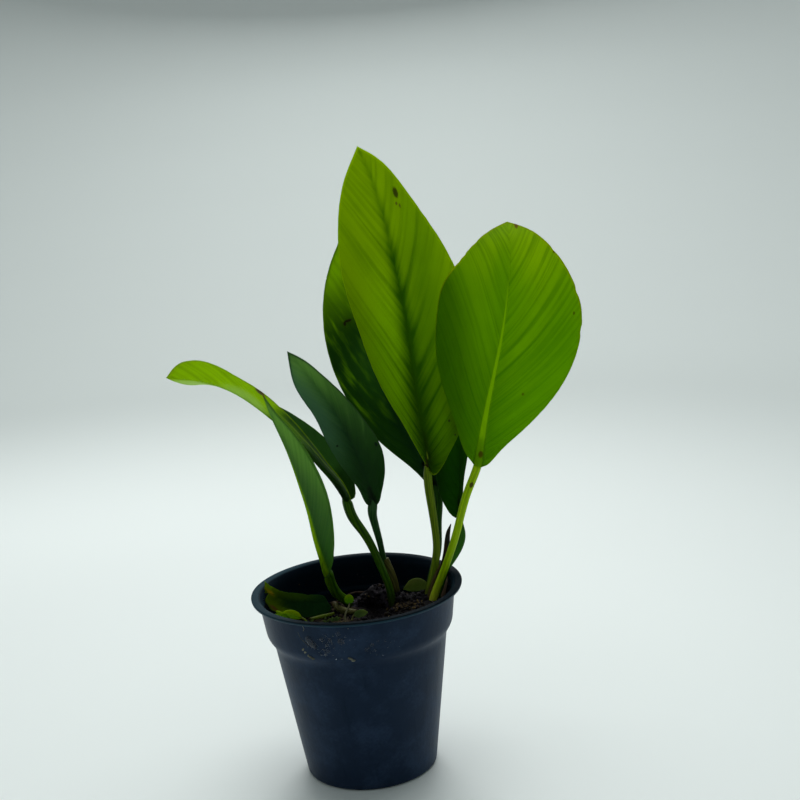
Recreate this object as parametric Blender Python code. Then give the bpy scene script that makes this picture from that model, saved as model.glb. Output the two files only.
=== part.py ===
"""A potted anubias congensis: a round nursery pot with its soil, the creeping rhizome, seven
grown leaves on their stalks, a new shoot, papery sheaths, and the small leaves on the soil.

Driving sizes are in millimetres in the plant's own frame: X runs to the right, Y away from the
viewer and Z up, with the origin at the middle of the pot's base. Meshes are made in metres.
"""
import math
from collections import namedtuple

import bmesh
import bpy
import numpy as np
from mathutils import Vector, noise

MM = 0.001
GAP = 0.35

# Pot
POT_HEIGHT = 80.0
LIP_RADIUS = 45.0
LIP_INNER_RADIUS = 41.2
LIP_DEPTH = 2.8
LIP_ROUND = 0.8
COLLAR_TOP_RADIUS = 41.5
COLLAR_BOTTOM_RADIUS = 39.6
COLLAR_BOTTOM = 62.2
STEP_RADIUS = 36.9
STEP_BOTTOM = 58.5
LEDGE_TOP = 66.6
LEDGE_BOTTOM = 65.4
LEDGE_WIDTH = 0.7
BASE_RADIUS = 28.0
BASE_ROUND = 1.2
WALL = 1.2
FLOOR = 1.6
INNER_BREAKS = (LEDGE_TOP, LEDGE_BOTTOM, COLLAR_BOTTOM, STEP_BOTTOM)
AROUND = 40

# Soil
SOIL_LEVEL = 65.5
SOIL_RISE_RIGHT = 0.06
SOIL_FALL_BACK = 0.10
SOIL_RINGS = 7
CLOD_SIZE = 7.0
CLOD_HEIGHT = 1.1
SIDE_DROP = 0.2

# Leaves and stalks
BLADE_THICKNESS = 0.8
BLADE_ROWS = 14
STEM_STEP = 2.0
ROW_CROWDING = 1.35
STALK_SIDES = 8
STALK_STEP = 6.5
ROOM_SIDES = 10
ROOM = 0.5
KEEL_LENGTH = 12.0
KEEL_WIDTH = 1.6

# The spine is the midrib's line from the stalk to the tip. face is the way the upper side looks
# at the stalk, half way and at the tip. fold is how far each half rises from flat at those
# places, in degrees, and curl how many degrees more for each millimetre from the midrib. left and
# right are margins as seen on the upper side, as distances along the midrib and away from it.
Leaf = namedtuple("Leaf", "spine face fold curl left right")

TALL = Leaf(
    spine=[(34.9, 17, 123.5), (32.2, 19, 154.5), (30.4, 21, 184.5), (27.4, 23, 210), (23.8, 26, 233.3),
           (19, 29, 252.3), (15.3, 31, 262.5)],
    face=[(0.8, -1, 0.1), (0, -1, 0.2), (-0.4, -1, 0.3)],
    fold=(22, 14, 8),
    curl=-0.3,
    left=[(4, 2.5), (20, 9.5), (40, 17), (65, 21), (92, 22.5), (112, 19.3), (131, 10.8)],
    right=[(-2.5, 1.5), (-1, 4.5), (6, 10.5), (12, 15), (22, 19), (40, 23.3), (62, 25.5), (85, 24.5),
           (108, 17), (130, 8)],
)
ROUND = Leaf(
    spine=[(55.2, 0, 128.3), (59.4, -3, 148.4), (64.9, -4, 169), (69.2, -4, 185.3), (72.5, -1, 201),
           (74.5, 4, 213.4), (75.4, 10, 221), (75.4, 18, 226.4)],
    face=[(0.2, 1, 0), (0.2, 1, -0.2), (0.1, 0.6, -0.8)],
    fold=(10, 8, 4),
    curl=-0.1,
    left=[(0.5, 2.5), (5, 6), (18, 15), (39, 27), (57, 31.8), (70, 31.2), (81, 26.3), (95, 15), (105, 4.5)],
    right=[(1, 2.5), (13, 11), (27, 19), (45, 27), (62, 29), (76, 27.8), (92, 18.5), (105, 6.5)],
)
BACK = Leaf(
    spine=[(37.1, 37, 108.8), (32.3, 39, 120.3), (25.7, 41, 133.3), (18.6, 43, 150.3), (13, 45, 168.5),
           (8.8, 46, 186.7), (5.7, 47, 202.4), (2.6, 47, 221.2)],
    face=[(0, -1, 0.15), (0, -1, 0.2), (-0.1, -1, 0.3)],
    fold=(12, 12, 8),
    curl=-0.2,
    left=[(2, 1), (8, 3), (21, 7.2), (36, 13), (57, 17), (77, 17), (96, 12.6), (110, 6)],
    right=[(0, 2.5), (4, 6), (14, 11), (32, 16), (55, 18.5), (78, 17.5), (97, 12.5), (110, 5.5)],
)
DARK = Leaf(
    spine=[(10, 8, 111.8), (9, 7, 119.7), (6.6, 6, 131), (2.6, 5, 142.5), (-4.3, 4, 158.4),
           (-11.1, 3, 169.7), (-16, 2, 178), (-19.7, 2, 182.8)],
    face=[(0.1, -1, 0.3), (0.1, -1, 0.4), (0.1, -1, 0.5)],
    fold=(14, 14, 10),
    curl=-0.3,
    left=[(2, 1.5), (8, 4.2), (20, 7.5), (37, 9.5), (50, 10), (63, 8), (72, 4)],
    right=[(2.5, 1.5), (6, 3.8), (11, 6.5), (17, 9.2), (27, 10.6), (38, 8.8), (52, 6.3), (66, 4), (74, 1.7)],
)
ARCHING = Leaf(
    spine=[(-0.8, 14, 114.1), (-5.9, 13, 123.6), (-11.5, 12, 131.4), (-17.9, 11, 140.1), (-24.3, 10, 147.9),
           (-34, 8, 158.2), (-44.3, 4, 168), (-56.3, -1, 174.2), (-69.2, -6, 177.1)],
    face=[(0.75, -0.3, 0.6), (0.5, 0.2, 0.8), (-0.1, 0.95, 0.4)],
    fold=(40, 30, 20),
    curl=0.5,
    left=[(1, 3), (6, 6.5), (14, 9), (27, 10.8), (43, 10.3), (58, 9.2), (73, 8.5), (87, 8.8), (95, 5.5)],
    right=[(-0.5, 2.5), (2, 5), (6, 7.5), (15, 10), (27, 10.8), (43, 10.3), (60, 10), (76, 9.5), (90, 6.5)],
)
NARROW = Leaf(
    spine=[(-13.4, 2, 86.9), (-14.4, 0, 92.7), (-15.8, -3, 102.6), (-17, -6, 114.6), (-19.3, -9, 126.8),
           (-24, -12, 147.5), (-27, -12, 157.8), (-29.9, -12, 169.3)],
    face=[(0.9, -0.2, 0.3), (0.9, 0.1, 0.3), (0.9, 0.3, 0.3)],
    fold=(50, 50, 40),
    curl=0.0,
    left=[(0, 3), (3, 6), (12, 9), (25, 11.5), (40, 12.5), (54, 11), (68, 7), (80, 2.5)],
    right=[(0, 3), (3, 6), (12, 9), (25, 11.5), (40, 12.5), (54, 11), (68, 7), (80, 2.5)],
)
HIDDEN = Leaf(
    spine=[(46.2, 27, 98.3), (46.5, 28, 106.3), (47.3, 29, 117.4), (48.6, 30, 128.3), (49.6, 31, 141.5),
           (49.2, 32, 159.2), (48.6, 33, 174.5)],
    face=[(-0.7, -0.7, 0.1), (-0.6, -0.8, 0.2), (-0.4, -0.9, 0.3)],
    fold=(30, 25, 15),
    curl=-0.2,
    left=[(0, 2), (4, 6), (9, 8.5), (24, 11), (42, 10.5), (60, 6.5), (71, 2.5)],
    right=[(0.5, 1.5), (7, 5), (16, 7.5), (28, 9.5), (44, 9.5), (60, 6), (71, 2.5)],
)

# Each stalk runs up from the rhizome, with its radius at each of its points.
Stalk = namedtuple("Stalk", "points radii")

TALL_STALK = Stalk(
    [(29.4, 11, 64), (30.1, 11, 70), (31.8, 11.5, 76), (33.9, 12.5, 83.8), (34.9, 13.5, 89.7),
     (34.8, 15, 97.4), (34.1, 16.5, 110.5), (33.9, 17.6, 122.2)],
    [2.3, 2.2, 2.0, 1.8, 1.7, 1.6, 1.7, 1.7],
)
ROUND_STALK = Stalk(
    [(30.5, 6, 64), (32, 5.7, 70), (35.5, 5.4, 78), (39.2, 3.5, 87.3), (43.5, 1, 101), (50.3, 0, 118.3),
     (54.9, 0, 127.7)],
    [2.5, 2.4, 2.2, 2.2, 2.1, 2.1, 1.9],
)
BACK_STALK = Stalk(
    [(29.5, 17, 64), (30.3, 17.2, 70), (33, 18.2, 79.5), (34.9, 21.5, 84), (35.9, 26, 89.3), (36.5, 32, 97),
     (37.1, 36.9, 108.2)],
    [1.8, 1.7, 1.5, 1.5, 1.5, 1.5, 1.4],
)
DARK_STALK = Stalk(
    [(13.9, 18.5, 64), (13.5, 18.5, 72), (12.9, 18.4, 78), (11.7, 18, 84.7), (10.9, 16, 92.2),
     (9.5, 12.2, 104.5), (9.8, 8.4, 111.4)],
    [1.6, 1.5, 1.4, 1.3, 1.3, 1.6, 1.7],
)
ARCHING_STALK = Stalk(
    [(15, 12, 64), (14.5, 12.6, 72), (13.7, 13, 76.2), (11.3, 13.5, 83.5), (8.4, 14, 90.8), (4, 14, 99.7),
     (0.5, 14, 106.3), (-1.1, 14, 113.5)],
    [2.1, 2.1, 2.0, 1.9, 1.9, 1.9, 1.9, 1.7],
)
NARROW_STALK = Stalk(
    [(-3, 22.5, 62), (-6.8, 21.4, 66), (-10.2, 17.5, 70.3), (-12, 12, 75.8), (-12.7, 7, 81.2),
     (-13.1, 2.8, 86.3)],
    [2.0, 1.9, 1.8, 1.9, 2.1, 2.0],
)
HIDDEN_STALK = Stalk(
    [(34.5, 10.2, 64), (35.3, 10, 70), (36.9, 10, 76.5), (38.4, 10.4, 80.2), (42.2, 13.5, 83.8),
     (45.9, 18, 87.6), (47.5, 23, 92.2), (46.3, 26.9, 97.6)],
    [1.3, 1.2, 1.1, 1.1, 1.1, 1.1, 1.1, 1.1],
)
NEW_SHOOT = Stalk(
    [(33.4, 14, 64), (33.8, 14.2, 70), (35.4, 14, 77.5), (37.6, 13.5, 84.1), (39.2, 13, 91), (40.5, 13, 96.7),
     (42.1, 13, 100.2)],
    [1.3, 1.2, 1.2, 1.3, 1.3, 0.9, 0.2],
)
# Knobbly and creeping, half sunk in the soil from the narrow leaf's foot to the right clump.
RHIZOME = Stalk(
    [(-7, 22.5, 61.5), (0, 22.5, 63.5), (7, 21.8, 67), (14, 17.5, 66), (21, 13.5, 65), (28, 11.5, 65.8),
     (34.5, 10.4, 66.5)],
    [2.6, 3.2, 4.8, 4.8, 4.2, 5.0, 2.8],
)
KNOBS_PER_RADIAN = 3.0
KNOB_HEIGHT = 0.35
# The old sheath at the middle clump, round the dark leaf's stalk.
MIDDLE_SHEATH = Stalk(
    [(13.9, 18.5, 68.6), (13.4, 18.4, 75), (12.9, 18.4, 80), (12, 18.1, 85.2)],
    [2.7, 2.6, 2.4, 1.9],
)

# Small leaves on the soil
RIGHT_SHEATH = Leaf(
    spine=[(35.6, 3.6, 69.4), (37.6, 3.1, 75.8), (38.9, 2.7, 80.3)],
    face=[(0.8, -0.6, 0), (0.8, -0.6, 0), (0.8, -0.6, 0)],
    fold=(0, 0, 0),
    curl=-14.0,
    left=[(1, 1.1), (6, 1.2), (10, 0.6)],
    right=[(1, 1.1), (6, 1.2), (10, 0.6)],
)
TORN = Leaf(
    spine=[(-14.4, 18, 67.2), (-21.2, 15, 68.6), (-27.5, 12.5, 70.1), (-33.1, 10, 72.9), (-36.7, 8.5, 77.2),
           (-38.8, 8, 80.7)],
    face=[(0.1, -0.5, 0.88), (0.3, -0.5, 0.8), (0.8, -0.4, 0.5)],
    fold=(3, 3, 2),
    curl=0.0,
    left=[(0, 4), (6, 6.4), (14, 7), (20, 7.7), (25, 7), (28.5, 6), (31, 3)],
    right=[(1, 4), (6, 7), (13, 8), (20, 7.8), (26, 6), (30, 3)],
)
SMALL_BACK = Leaf(
    spine=[(18.4, 26.5, 68.2), (24, 26.5, 69.2), (29.6, 23.8, 70)],
    face=[(0, -0.95, 0.3), (0, -0.95, 0.3), (0, -0.95, 0.3)],
    fold=(5, 5, 5),
    curl=0.0,
    left=[(2, 1.9), (5, 2.7), (8.5, 2)],
    right=[(2, 1.9), (5, 2.9), (8.5, 2.2)],
)
LIME_SEEDLING = Leaf(
    spine=[(-24.4, 0, 67.4), (-28, 0, 69.2), (-31.5, 0.3, 69.7), (-34.2, 0.8, 69.4)],
    face=[(0, -0.8, 0.6), (0, -0.8, 0.6), (0, -0.8, 0.6)],
    fold=(10, 10, 10),
    curl=0.0,
    left=[(1.5, 1.4), (4.5, 2.2), (8, 1.8)],
    right=[(1.5, 1.4), (4.5, 2.2), (8, 1.8)],
)
ROUND_SEEDLING = Leaf(
    spine=[(-4, 3.6, 71), (-4, 3.5, 73.2), (-4, 3.9, 75.2)],
    face=[(0.1, -0.9, 0.5), (0.1, -0.9, 0.5), (0.1, -0.9, 0.5)],
    fold=(4, 4, 4),
    curl=0.0,
    left=[(0.4, 1.4), (2, 2.2), (3.7, 1.4)],
    right=[(0.4, 1.4), (2, 2.2), (3.7, 1.4)],
)
OLIVE_SEEDLING = Leaf(
    spine=[(-2.6, -1, 67.2), (0.6, -0.8, 67.8), (3.8, -0.4, 68.1)],
    face=[(0, -0.8, 0.6), (0, -0.8, 0.6), (0, -0.8, 0.6)],
    fold=(8, 8, 8),
    curl=0.0,
    left=[(1, 1.3), (3, 1.9), (5.4, 1.3)],
    right=[(1, 1.3), (3, 1.9), (5.4, 1.3)],
)
ROUND_SEEDLING_STEM = Stalk([(-6, -2.5, 64.5), (-5.8, -0.4, 68), (-4.2, 3, 70.3)], [0.45, 0.4, 0.4])
LIME_SEEDLING_STEM = Stalk([(-22.6, -2.6, 63.5), (-22.5, -1.2, 65.8), (-23.7, -0.2, 67.1)], [0.6, 0.5, 0.4])
OLIVE_SEEDLING_STEM = Stalk([(-3.4, -3, 64), (-3.2, -2, 65.6), (-2.9, -1.2, 66.4)], [0.5, 0.4, 0.4])
OLIVE_STRIP = Stalk(
    [(-12, 19.5, 66), (-9, 14, 65), (-5.5, 11, 64.9), (-1.5, 9, 65.2)],
    [0.8, 1.1, 1.0, 0.6],
)
LIME_STRIP = Stalk([(-21.7, 5, 64.9), (-16.6, 7.2, 64.8), (-11.5, 9.6, 65)], [0.6, 0.9, 0.6])


def clear_scene():
    """Takes everything out of the open scene."""
    for thing in list(bpy.data.objects):
        bpy.data.objects.remove(thing, do_unlink=True)


def material(name, colour, roughness, metallic=0.0):
    """A plain surface with the part's colour, roughness and metallic value."""
    made = bpy.data.materials.new(name)
    made.use_nodes = True
    shader = made.node_tree.nodes["Principled BSDF"]
    shader.inputs["Base Color"].default_value = (*colour, 1.0)
    shader.inputs["Roughness"].default_value = roughness
    shader.inputs["Metallic"].default_value = metallic
    return made


def add_object(name, vertices, faces, surface):
    """A named, smooth-shaded object from vertices in millimetres."""
    mesh = bpy.data.meshes.new(name)
    mesh.from_pydata([tuple(np.asarray(v, float) * MM) for v in vertices], [], faces)
    mesh.validate()
    work = bmesh.new()
    work.from_mesh(mesh)
    bmesh.ops.recalc_face_normals(work, faces=work.faces)
    work.to_mesh(mesh)
    work.free()
    mesh.materials.append(surface)
    mesh.shade_smooth()
    mesh.set_sharp_from_angle(angle=math.radians(50))
    made = bpy.data.objects.new(name, mesh)
    bpy.context.collection.objects.link(made)
    return made


def cut(body, cutters):
    """Takes the forms of all the cutters out of the body at once."""
    group = bpy.data.collections.new("room_in_" + body.name)
    for cutter in cutters:
        group.objects.link(cutter)
        cutter.hide_render = True
        cutter.display_type = "WIRE"
    boolean = body.modifiers.new("room", "BOOLEAN")
    boolean.operation = "DIFFERENCE"
    boolean.solver = "EXACT"
    boolean.operand_type = "COLLECTION"
    boolean.collection = group


def chord_lengths(points):
    """How far along the straight lines between them each point lies."""
    steps = np.linalg.norm(np.diff(points, axis=0), axis=1)
    return np.concatenate([[0.0], np.cumsum(steps)])


def natural_curve(places, values):
    """A function: the natural cubic spline through the values, straight beyond its ends."""
    count = len(places)
    widths = np.diff(places)
    slopes = np.diff(values, axis=0) / widths[:, None]
    system = np.eye(count)
    right_side = np.zeros_like(values)
    for i in range(1, count - 1):
        system[i, i - 1:i + 2] = widths[i - 1], 2 * (widths[i - 1] + widths[i]), widths[i]
        right_side[i] = 6 * (slopes[i] - slopes[i - 1])
    bends = np.linalg.solve(system, right_side)
    first_slope = slopes[0] - widths[0] * bends[1] / 6
    last_slope = slopes[-1] + widths[-1] * bends[-2] / 6

    def at(place):
        held = min(max(place, places[0]), places[-1])
        i = min(max(int(np.searchsorted(places, held)) - 1, 0), count - 2)
        width = widths[i]
        done = held - places[i]
        left = places[i + 1] - held
        cubic = (bends[i] * left**3 + bends[i + 1] * done**3) / (6 * width)
        start = (values[i] / width - bends[i] * width / 6) * left
        end = (values[i + 1] / width - bends[i + 1] * width / 6) * done
        before = first_slope * min(place - places[0], 0.0)
        after = last_slope * max(place - places[-1], 0.0)
        return cubic + start + end + before + after

    return at


class Course:
    """A smooth line through points, read by the distance along it and straight beyond its ends."""

    SAMPLES = 160

    def __init__(self, points):
        points = np.array(points, float)
        chords = chord_lengths(points)
        curve = natural_curve(chords, points)
        steps = np.linspace(0, chords[-1], self.SAMPLES)
        self.fine = np.array([curve(s) for s in steps])
        self.places = chord_lengths(self.fine)
        self.length = self.places[-1]
        self.stations = np.interp(chords, steps, self.places)
        self.slopes = np.gradient(self.fine, self.places, axis=0)

    def direction(self, distance):
        """The unit direction of travel."""
        slope = np.array([np.interp(distance, self.places, axis) for axis in self.slopes.T])
        return slope / np.linalg.norm(slope)

    def at(self, distance):
        """The point at a distance from the start."""
        inside = min(max(distance, 0.0), self.length)
        point = np.array([np.interp(inside, self.places, axis) for axis in self.fine.T])
        return point + self.direction(inside) * (distance - inside)


def three(values, t):
    """The quadratic through values at the start, the middle and the end."""
    t = min(max(t, 0.0), 1.0)
    first, middle, last = (np.asarray(v, float) for v in values)
    return first * (1 - t) * (1 - 2 * t) + middle * 4 * t * (1 - t) + last * t * (2 * t - 1)


def blade_frame(leaf, spine, along):
    """The sideways and the upper direction of the blade at a distance along the midrib."""
    forward = spine.direction(min(max(along, 0.0), spine.length))
    face = three(leaf.face, along / spine.length)
    upper = face - face.dot(forward) * forward
    upper /= np.linalg.norm(upper)
    return np.cross(forward, upper), upper


def place_on_blade(leaf, spine, along, across, above):
    """The point at a distance along the midrib, away from it and above the blade's middle."""
    sideways, upper = blade_frame(leaf, spine, along)
    fold = math.radians(three(leaf.fold, along / spine.length))
    bend = math.radians(leaf.curl) or 1e-6
    reach = abs(across)
    slant = fold + bend * reach
    out = (math.sin(slant) - math.sin(fold)) / bend
    rise = (math.cos(fold) - math.cos(slant)) / bend
    if reach:
        out -= above * math.sin(slant)
        above *= math.cos(slant)
    return spine.at(along) + math.copysign(out, across) * sideways + (rise + above) * upper


def skin(name, rings, surface):
    """A closed object over rings of points, where a ring of one point closes an end."""
    vertices = [point for ring in rings for point in ring]
    faces = []
    start = 0
    for low, high in zip(rings, rings[1:]):
        following = start + len(low)
        for j in range(max(len(low), len(high))):
            k = j + 1
            corners = (
                start + j % len(low),
                start + k % len(low),
                following + k % len(high),
                following + j % len(high),
            )
            faces.append(tuple(dict.fromkeys(corners)))
        start = following
    return add_object(name, vertices, faces, surface)


def blade_rings(leaf, rows, columns, thickness, keel=0.0):
    """The blade's cross sections from the stalk to the tip, each round its upper and lower side."""
    spine = Course(leaf.spine)
    ends = (0.0, 0.0), (spine.length, 0.0)
    margins = [Course([ends[0], *side, ends[1]]) for side in (leaf.left, leaf.right)]
    rings = []
    for i in range(1, rows):
        share = (i / rows) ** ROW_CROWDING
        middle = np.array([spine.length * share, 0.0])
        upper_side = []
        lower_side = []
        for j in range(-columns, columns + 1):
            side = 0 if j < 0 else 1
            edge = margins[side].at(margins[side].length * share)
            along, across = middle + (edge - middle) * abs(j) / columns
            fading = max(0.0, 1.0 - along / KEEL_LENGTH) * math.exp(-((across / KEEL_WIDTH) ** 2))
            half = thickness / 2 + max(keel - thickness / 2, 0.0) * fading
            across = abs(across) * (1 if side else -1)
            upper_side.append(place_on_blade(leaf, spine, along, across, half))
            lower_side.append(place_on_blade(leaf, spine, along, across, -half))
        rings.append(upper_side + lower_side[::-1])
    return rings + [[spine.at(spine.length)]]


def stalk_rings(stalk, sides, step, across, room=0.0, knobs=None):
    """The stalk's cross sections from its top down. across is the way the first point looks, room
    makes the stalk fatter and longer, and knobs gives the bark's height from the distance and angle."""
    course = Course(stalk.points)
    count = max(int(course.length / step), 3)
    rings = [[course.at(course.length + room)]]
    for i in range(count, -1, -1):
        distance = course.length * i / count
        forward = course.direction(distance)
        across = across - across.dot(forward) * forward
        across /= np.linalg.norm(across)
        other = np.cross(forward, across)
        radius = float(np.interp(distance, course.stations, stalk.radii)) + room
        middle = course.at(distance + room * (2 * i / count - 1))
        ring = []
        for j in range(sides):
            angle = 2 * math.pi * (j + 0.5) / sides
            height = radius + (knobs(distance, angle) if knobs else 0.0)
            ring.append(middle + height * (math.cos(angle) * across + math.sin(angle) * other))
        rings.append(ring)
    return rings + [[course.at(-room)]]


def tube(name, stalk, surface, sides=STALK_SIDES, step=STALK_STEP, room=0.0, knobs=None):
    """A round stalk along its points."""
    across = np.array([1.0, 0.0, 0.0])
    return skin(name, stalk_rings(stalk, sides, step, across, room, knobs), surface)


def leaf_piece(name, leaf, surface, stalk=None, rows=BLADE_ROWS, columns=3, thickness=BLADE_THICKNESS,
               step=STALK_STEP):
    """A leaf in one piece: its stalk, if it has one, and the blade that widens out of it."""
    if stalk is None:
        return skin(name, [[Course(leaf.spine).at(0)], *blade_rings(leaf, rows, columns, thickness)], surface)
    sideways, upper = blade_frame(leaf, Course(leaf.spine), 0.0)
    below = stalk_rings(stalk, 2 * (2 * columns + 1), step, -sideways)
    above = blade_rings(leaf, rows, columns, thickness, keel=stalk.radii[-1])
    return skin(name, below[:0:-1] + above, surface)


def lathe(name, profile, surface, around=AROUND):
    """A body turned about the upright axis from a profile that starts and ends on it."""
    turns = [2 * math.pi * j / around for j in range(around)]
    rings = []
    for radius, height in profile:
        steps = turns if radius else turns[:1]
        rings.append([(radius * math.cos(turn), radius * math.sin(turn), height) for turn in steps])
    return skin(name, rings, surface)


def inner_radius(height):
    """The pot's inside radius at a height."""
    heights = (FLOOR, STEP_BOTTOM, COLLAR_BOTTOM, POT_HEIGHT - LIP_DEPTH)
    outside = (BASE_RADIUS, STEP_RADIUS, COLLAR_BOTTOM_RADIUS, COLLAR_TOP_RADIUS)
    ledge_heights = (STEP_BOTTOM, COLLAR_BOTTOM, LEDGE_BOTTOM, LEDGE_TOP)
    ledge = np.interp(height, ledge_heights, (0, LEDGE_WIDTH, LEDGE_WIDTH, 0))
    return float(np.interp(height, heights, outside)) - WALL - float(ledge)


def build_pot(surface):
    """The nursery pot: tapered wall, a step, the collar and a flat rolled lip."""
    lip_bottom = POT_HEIGHT - LIP_DEPTH
    profile = [
        (0, 0),
        (BASE_RADIUS - BASE_ROUND, 0),
        (BASE_RADIUS, BASE_ROUND),
        (STEP_RADIUS, STEP_BOTTOM),
        (COLLAR_BOTTOM_RADIUS, COLLAR_BOTTOM),
        (COLLAR_TOP_RADIUS, lip_bottom),
        (LIP_RADIUS - LIP_ROUND, lip_bottom),
        (LIP_RADIUS, lip_bottom + LIP_ROUND),
        (LIP_RADIUS, POT_HEIGHT - LIP_ROUND),
        (LIP_RADIUS - LIP_ROUND, POT_HEIGHT),
        (LIP_INNER_RADIUS + LIP_ROUND, POT_HEIGHT),
        (LIP_INNER_RADIUS, POT_HEIGHT - LIP_ROUND),
        (inner_radius(lip_bottom), lip_bottom),
        *((inner_radius(height), height) for height in INNER_BREAKS),
        (inner_radius(FLOOR), FLOOR),
        (0, FLOOR),
    ]
    return lathe("pot", profile, surface)


def ground(x, y):
    """The height of the soil: higher at the front and right, heaped at the right clump, cloddy."""
    level = SOIL_LEVEL + SOIL_RISE_RIGHT * x - SOIL_FALL_BACK * y
    heap = 2.2 * math.exp(-((x - 28) ** 2 + (y - 6) ** 2) / 15**2)
    clods = CLOD_HEIGHT * noise.noise(Vector((x / CLOD_SIZE, y / CLOD_SIZE, 3.7)))
    return level + heap + clods


def build_soil(surface):
    """The soil that fills the pot, a gap inside its wall and over its floor."""
    turns = [2 * math.pi * j / AROUND for j in range(AROUND)]

    def wall_point(turn, height):
        radius = inner_radius(height) - GAP
        return (radius * math.cos(turn), radius * math.sin(turn), height)

    edge = []
    for turn in turns:
        height = SOIL_LEVEL
        for _ in range(4):
            x, y, _ = wall_point(turn, height)
            height = ground(x, y)
        edge.append(wall_point(turn, height))
    rings = [[(0, 0, ground(0, 0))]]
    for i in range(1, SOIL_RINGS):
        share = i / SOIL_RINGS
        rings.append([(x * share, y * share, ground(x * share, y * share)) for x, y, _ in edge])
    rings.append(edge)
    for drop, level in enumerate((LEDGE_BOTTOM, STEP_BOTTOM), start=1):
        rings.append([wall_point(t, min(z - SIDE_DROP * drop, level)) for t, (_, _, z) in zip(turns, edge)])
    rings.append([wall_point(turn, FLOOR + GAP) for turn in turns])
    rings.append([(0, 0, FLOOR + GAP)])
    return skin("soil", rings, surface)


def knobbly(distance, angle):
    """The rhizome's old leaf scars, as low rings and lumps."""
    ringed = math.sin(distance * 1.9)
    lumpy = noise.noise(Vector((distance * 0.6, math.cos(angle) * KNOBS_PER_RADIAN, math.sin(angle))))
    return KNOB_HEIGHT * ringed + 2.0 * KNOB_HEIGHT * lumpy


def build():
    """Makes every piece and cuts the rhizome and soil to fit round what stands in them."""
    clear_scene()
    pot_plastic = material("pot_plastic", (0.012, 0.018, 0.035), 0.4)
    earth = material("earth", (0.035, 0.022, 0.018), 0.95)
    bark = material("rhizome_bark", (0.10, 0.075, 0.07), 0.85)
    leaf_light = material("leaf_light", (0.16, 0.32, 0.01), 0.42)
    leaf_dark = material("leaf_dark", (0.025, 0.10, 0.02), 0.35)
    stalk_green = material("stalk_green", (0.12, 0.22, 0.02), 0.4)
    dry_brown = material("dry_brown", (0.14, 0.08, 0.04), 0.8)
    sprout_green = material("sprout_green", (0.25, 0.45, 0.02), 0.45)

    build_pot(pot_plastic)
    soil = build_soil(earth)
    rough = dict(sides=10, step=3, knobs=knobbly)
    rhizome = tube("rhizome", RHIZOME, bark, **rough)
    rhizome_room = tube("rhizome_room", RHIZOME, earth, room=2 * GAP, **rough)
    wrap = dict(sides=12, step=4)
    sheath = tube("sheath_middle", MIDDLE_SHEATH, dry_brown, **wrap)
    sheath_room = tube("sheath_middle_room", MIDDLE_SHEATH, earth, room=GAP, **wrap)

    grown = {
        "leaf_tall": (TALL, TALL_STALK, leaf_light, 14),
        "leaf_round": (ROUND, ROUND_STALK, leaf_light, 14),
        "leaf_back": (BACK, BACK_STALK, leaf_dark, 14),
        "leaf_dark": (DARK, DARK_STALK, leaf_dark, 12),
        "leaf_arching": (ARCHING, ARCHING_STALK, leaf_light, 14),
        "leaf_narrow": (NARROW, NARROW_STALK, leaf_dark, 12),
        "leaf_hidden": (HIDDEN, HIDDEN_STALK, leaf_dark, 12),
    }
    rooms = {}
    for name, (leaf, stalk, surface, rows) in grown.items():
        leaf_piece(name, leaf, surface, stalk, rows=rows)
        rooms[name] = tube(name + "_room", stalk, surface, sides=ROOM_SIDES, room=ROOM)
    tube("new_shoot", NEW_SHOOT, dry_brown)
    rooms["new_shoot"] = tube("new_shoot_room", NEW_SHOOT, dry_brown, room=GAP)

    small = dict(columns=2, thickness=0.5)
    seedlings = {
        "seedling_lime": (LIME_SEEDLING, LIME_SEEDLING_STEM, sprout_green),
        "seedling_round": (ROUND_SEEDLING, ROUND_SEEDLING_STEM, sprout_green),
        "seedling_olive": (OLIVE_SEEDLING, OLIVE_SEEDLING_STEM, leaf_dark),
    }
    small_rooms = []
    for name, (leaf, stem, surface) in seedlings.items():
        leaf_piece(name, leaf, surface, stem, rows=5, step=STEM_STEP, **small)
        small_rooms.append(tube(name + "_room", stem, surface, sides=6, step=STEM_STEP, room=ROOM))
    strips = {"strip_olive": (OLIVE_STRIP, stalk_green), "strip_lime": (LIME_STRIP, sprout_green)}
    thin = dict(sides=6, step=STEM_STEP)
    for name, (strip, surface) in strips.items():
        tube(name, strip, surface, **thin)
        small_rooms.append(tube(name + "_room", strip, surface, room=GAP, **thin))

    cut(soil, [rhizome_room, sheath_room, *rooms.values(), *small_rooms])
    cut(rhizome, [sheath_room, *rooms.values()])
    cut(sheath, [rooms["leaf_dark"], rooms["leaf_arching"]])

    leaf_piece("leaf_torn", TORN, leaf_dark, rows=10)
    leaf_piece("leaf_small", SMALL_BACK, leaf_dark, rows=6, **small)
    leaf_piece("sheath_right", RIGHT_SHEATH, dry_brown, rows=6, **small)


build()
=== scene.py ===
"""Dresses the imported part: a potted anubias congensis in its round nursery pot.

Sizes are in millimetres in the part's own frame: X to the right, Y away from the viewer and Z up,
with the origin at the middle of the pot's base. Meshes are made in metres.
"""

import math
from collections import namedtuple

import bmesh
import bpy
import numpy as np
from mathutils import Matrix, Vector, noise


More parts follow.
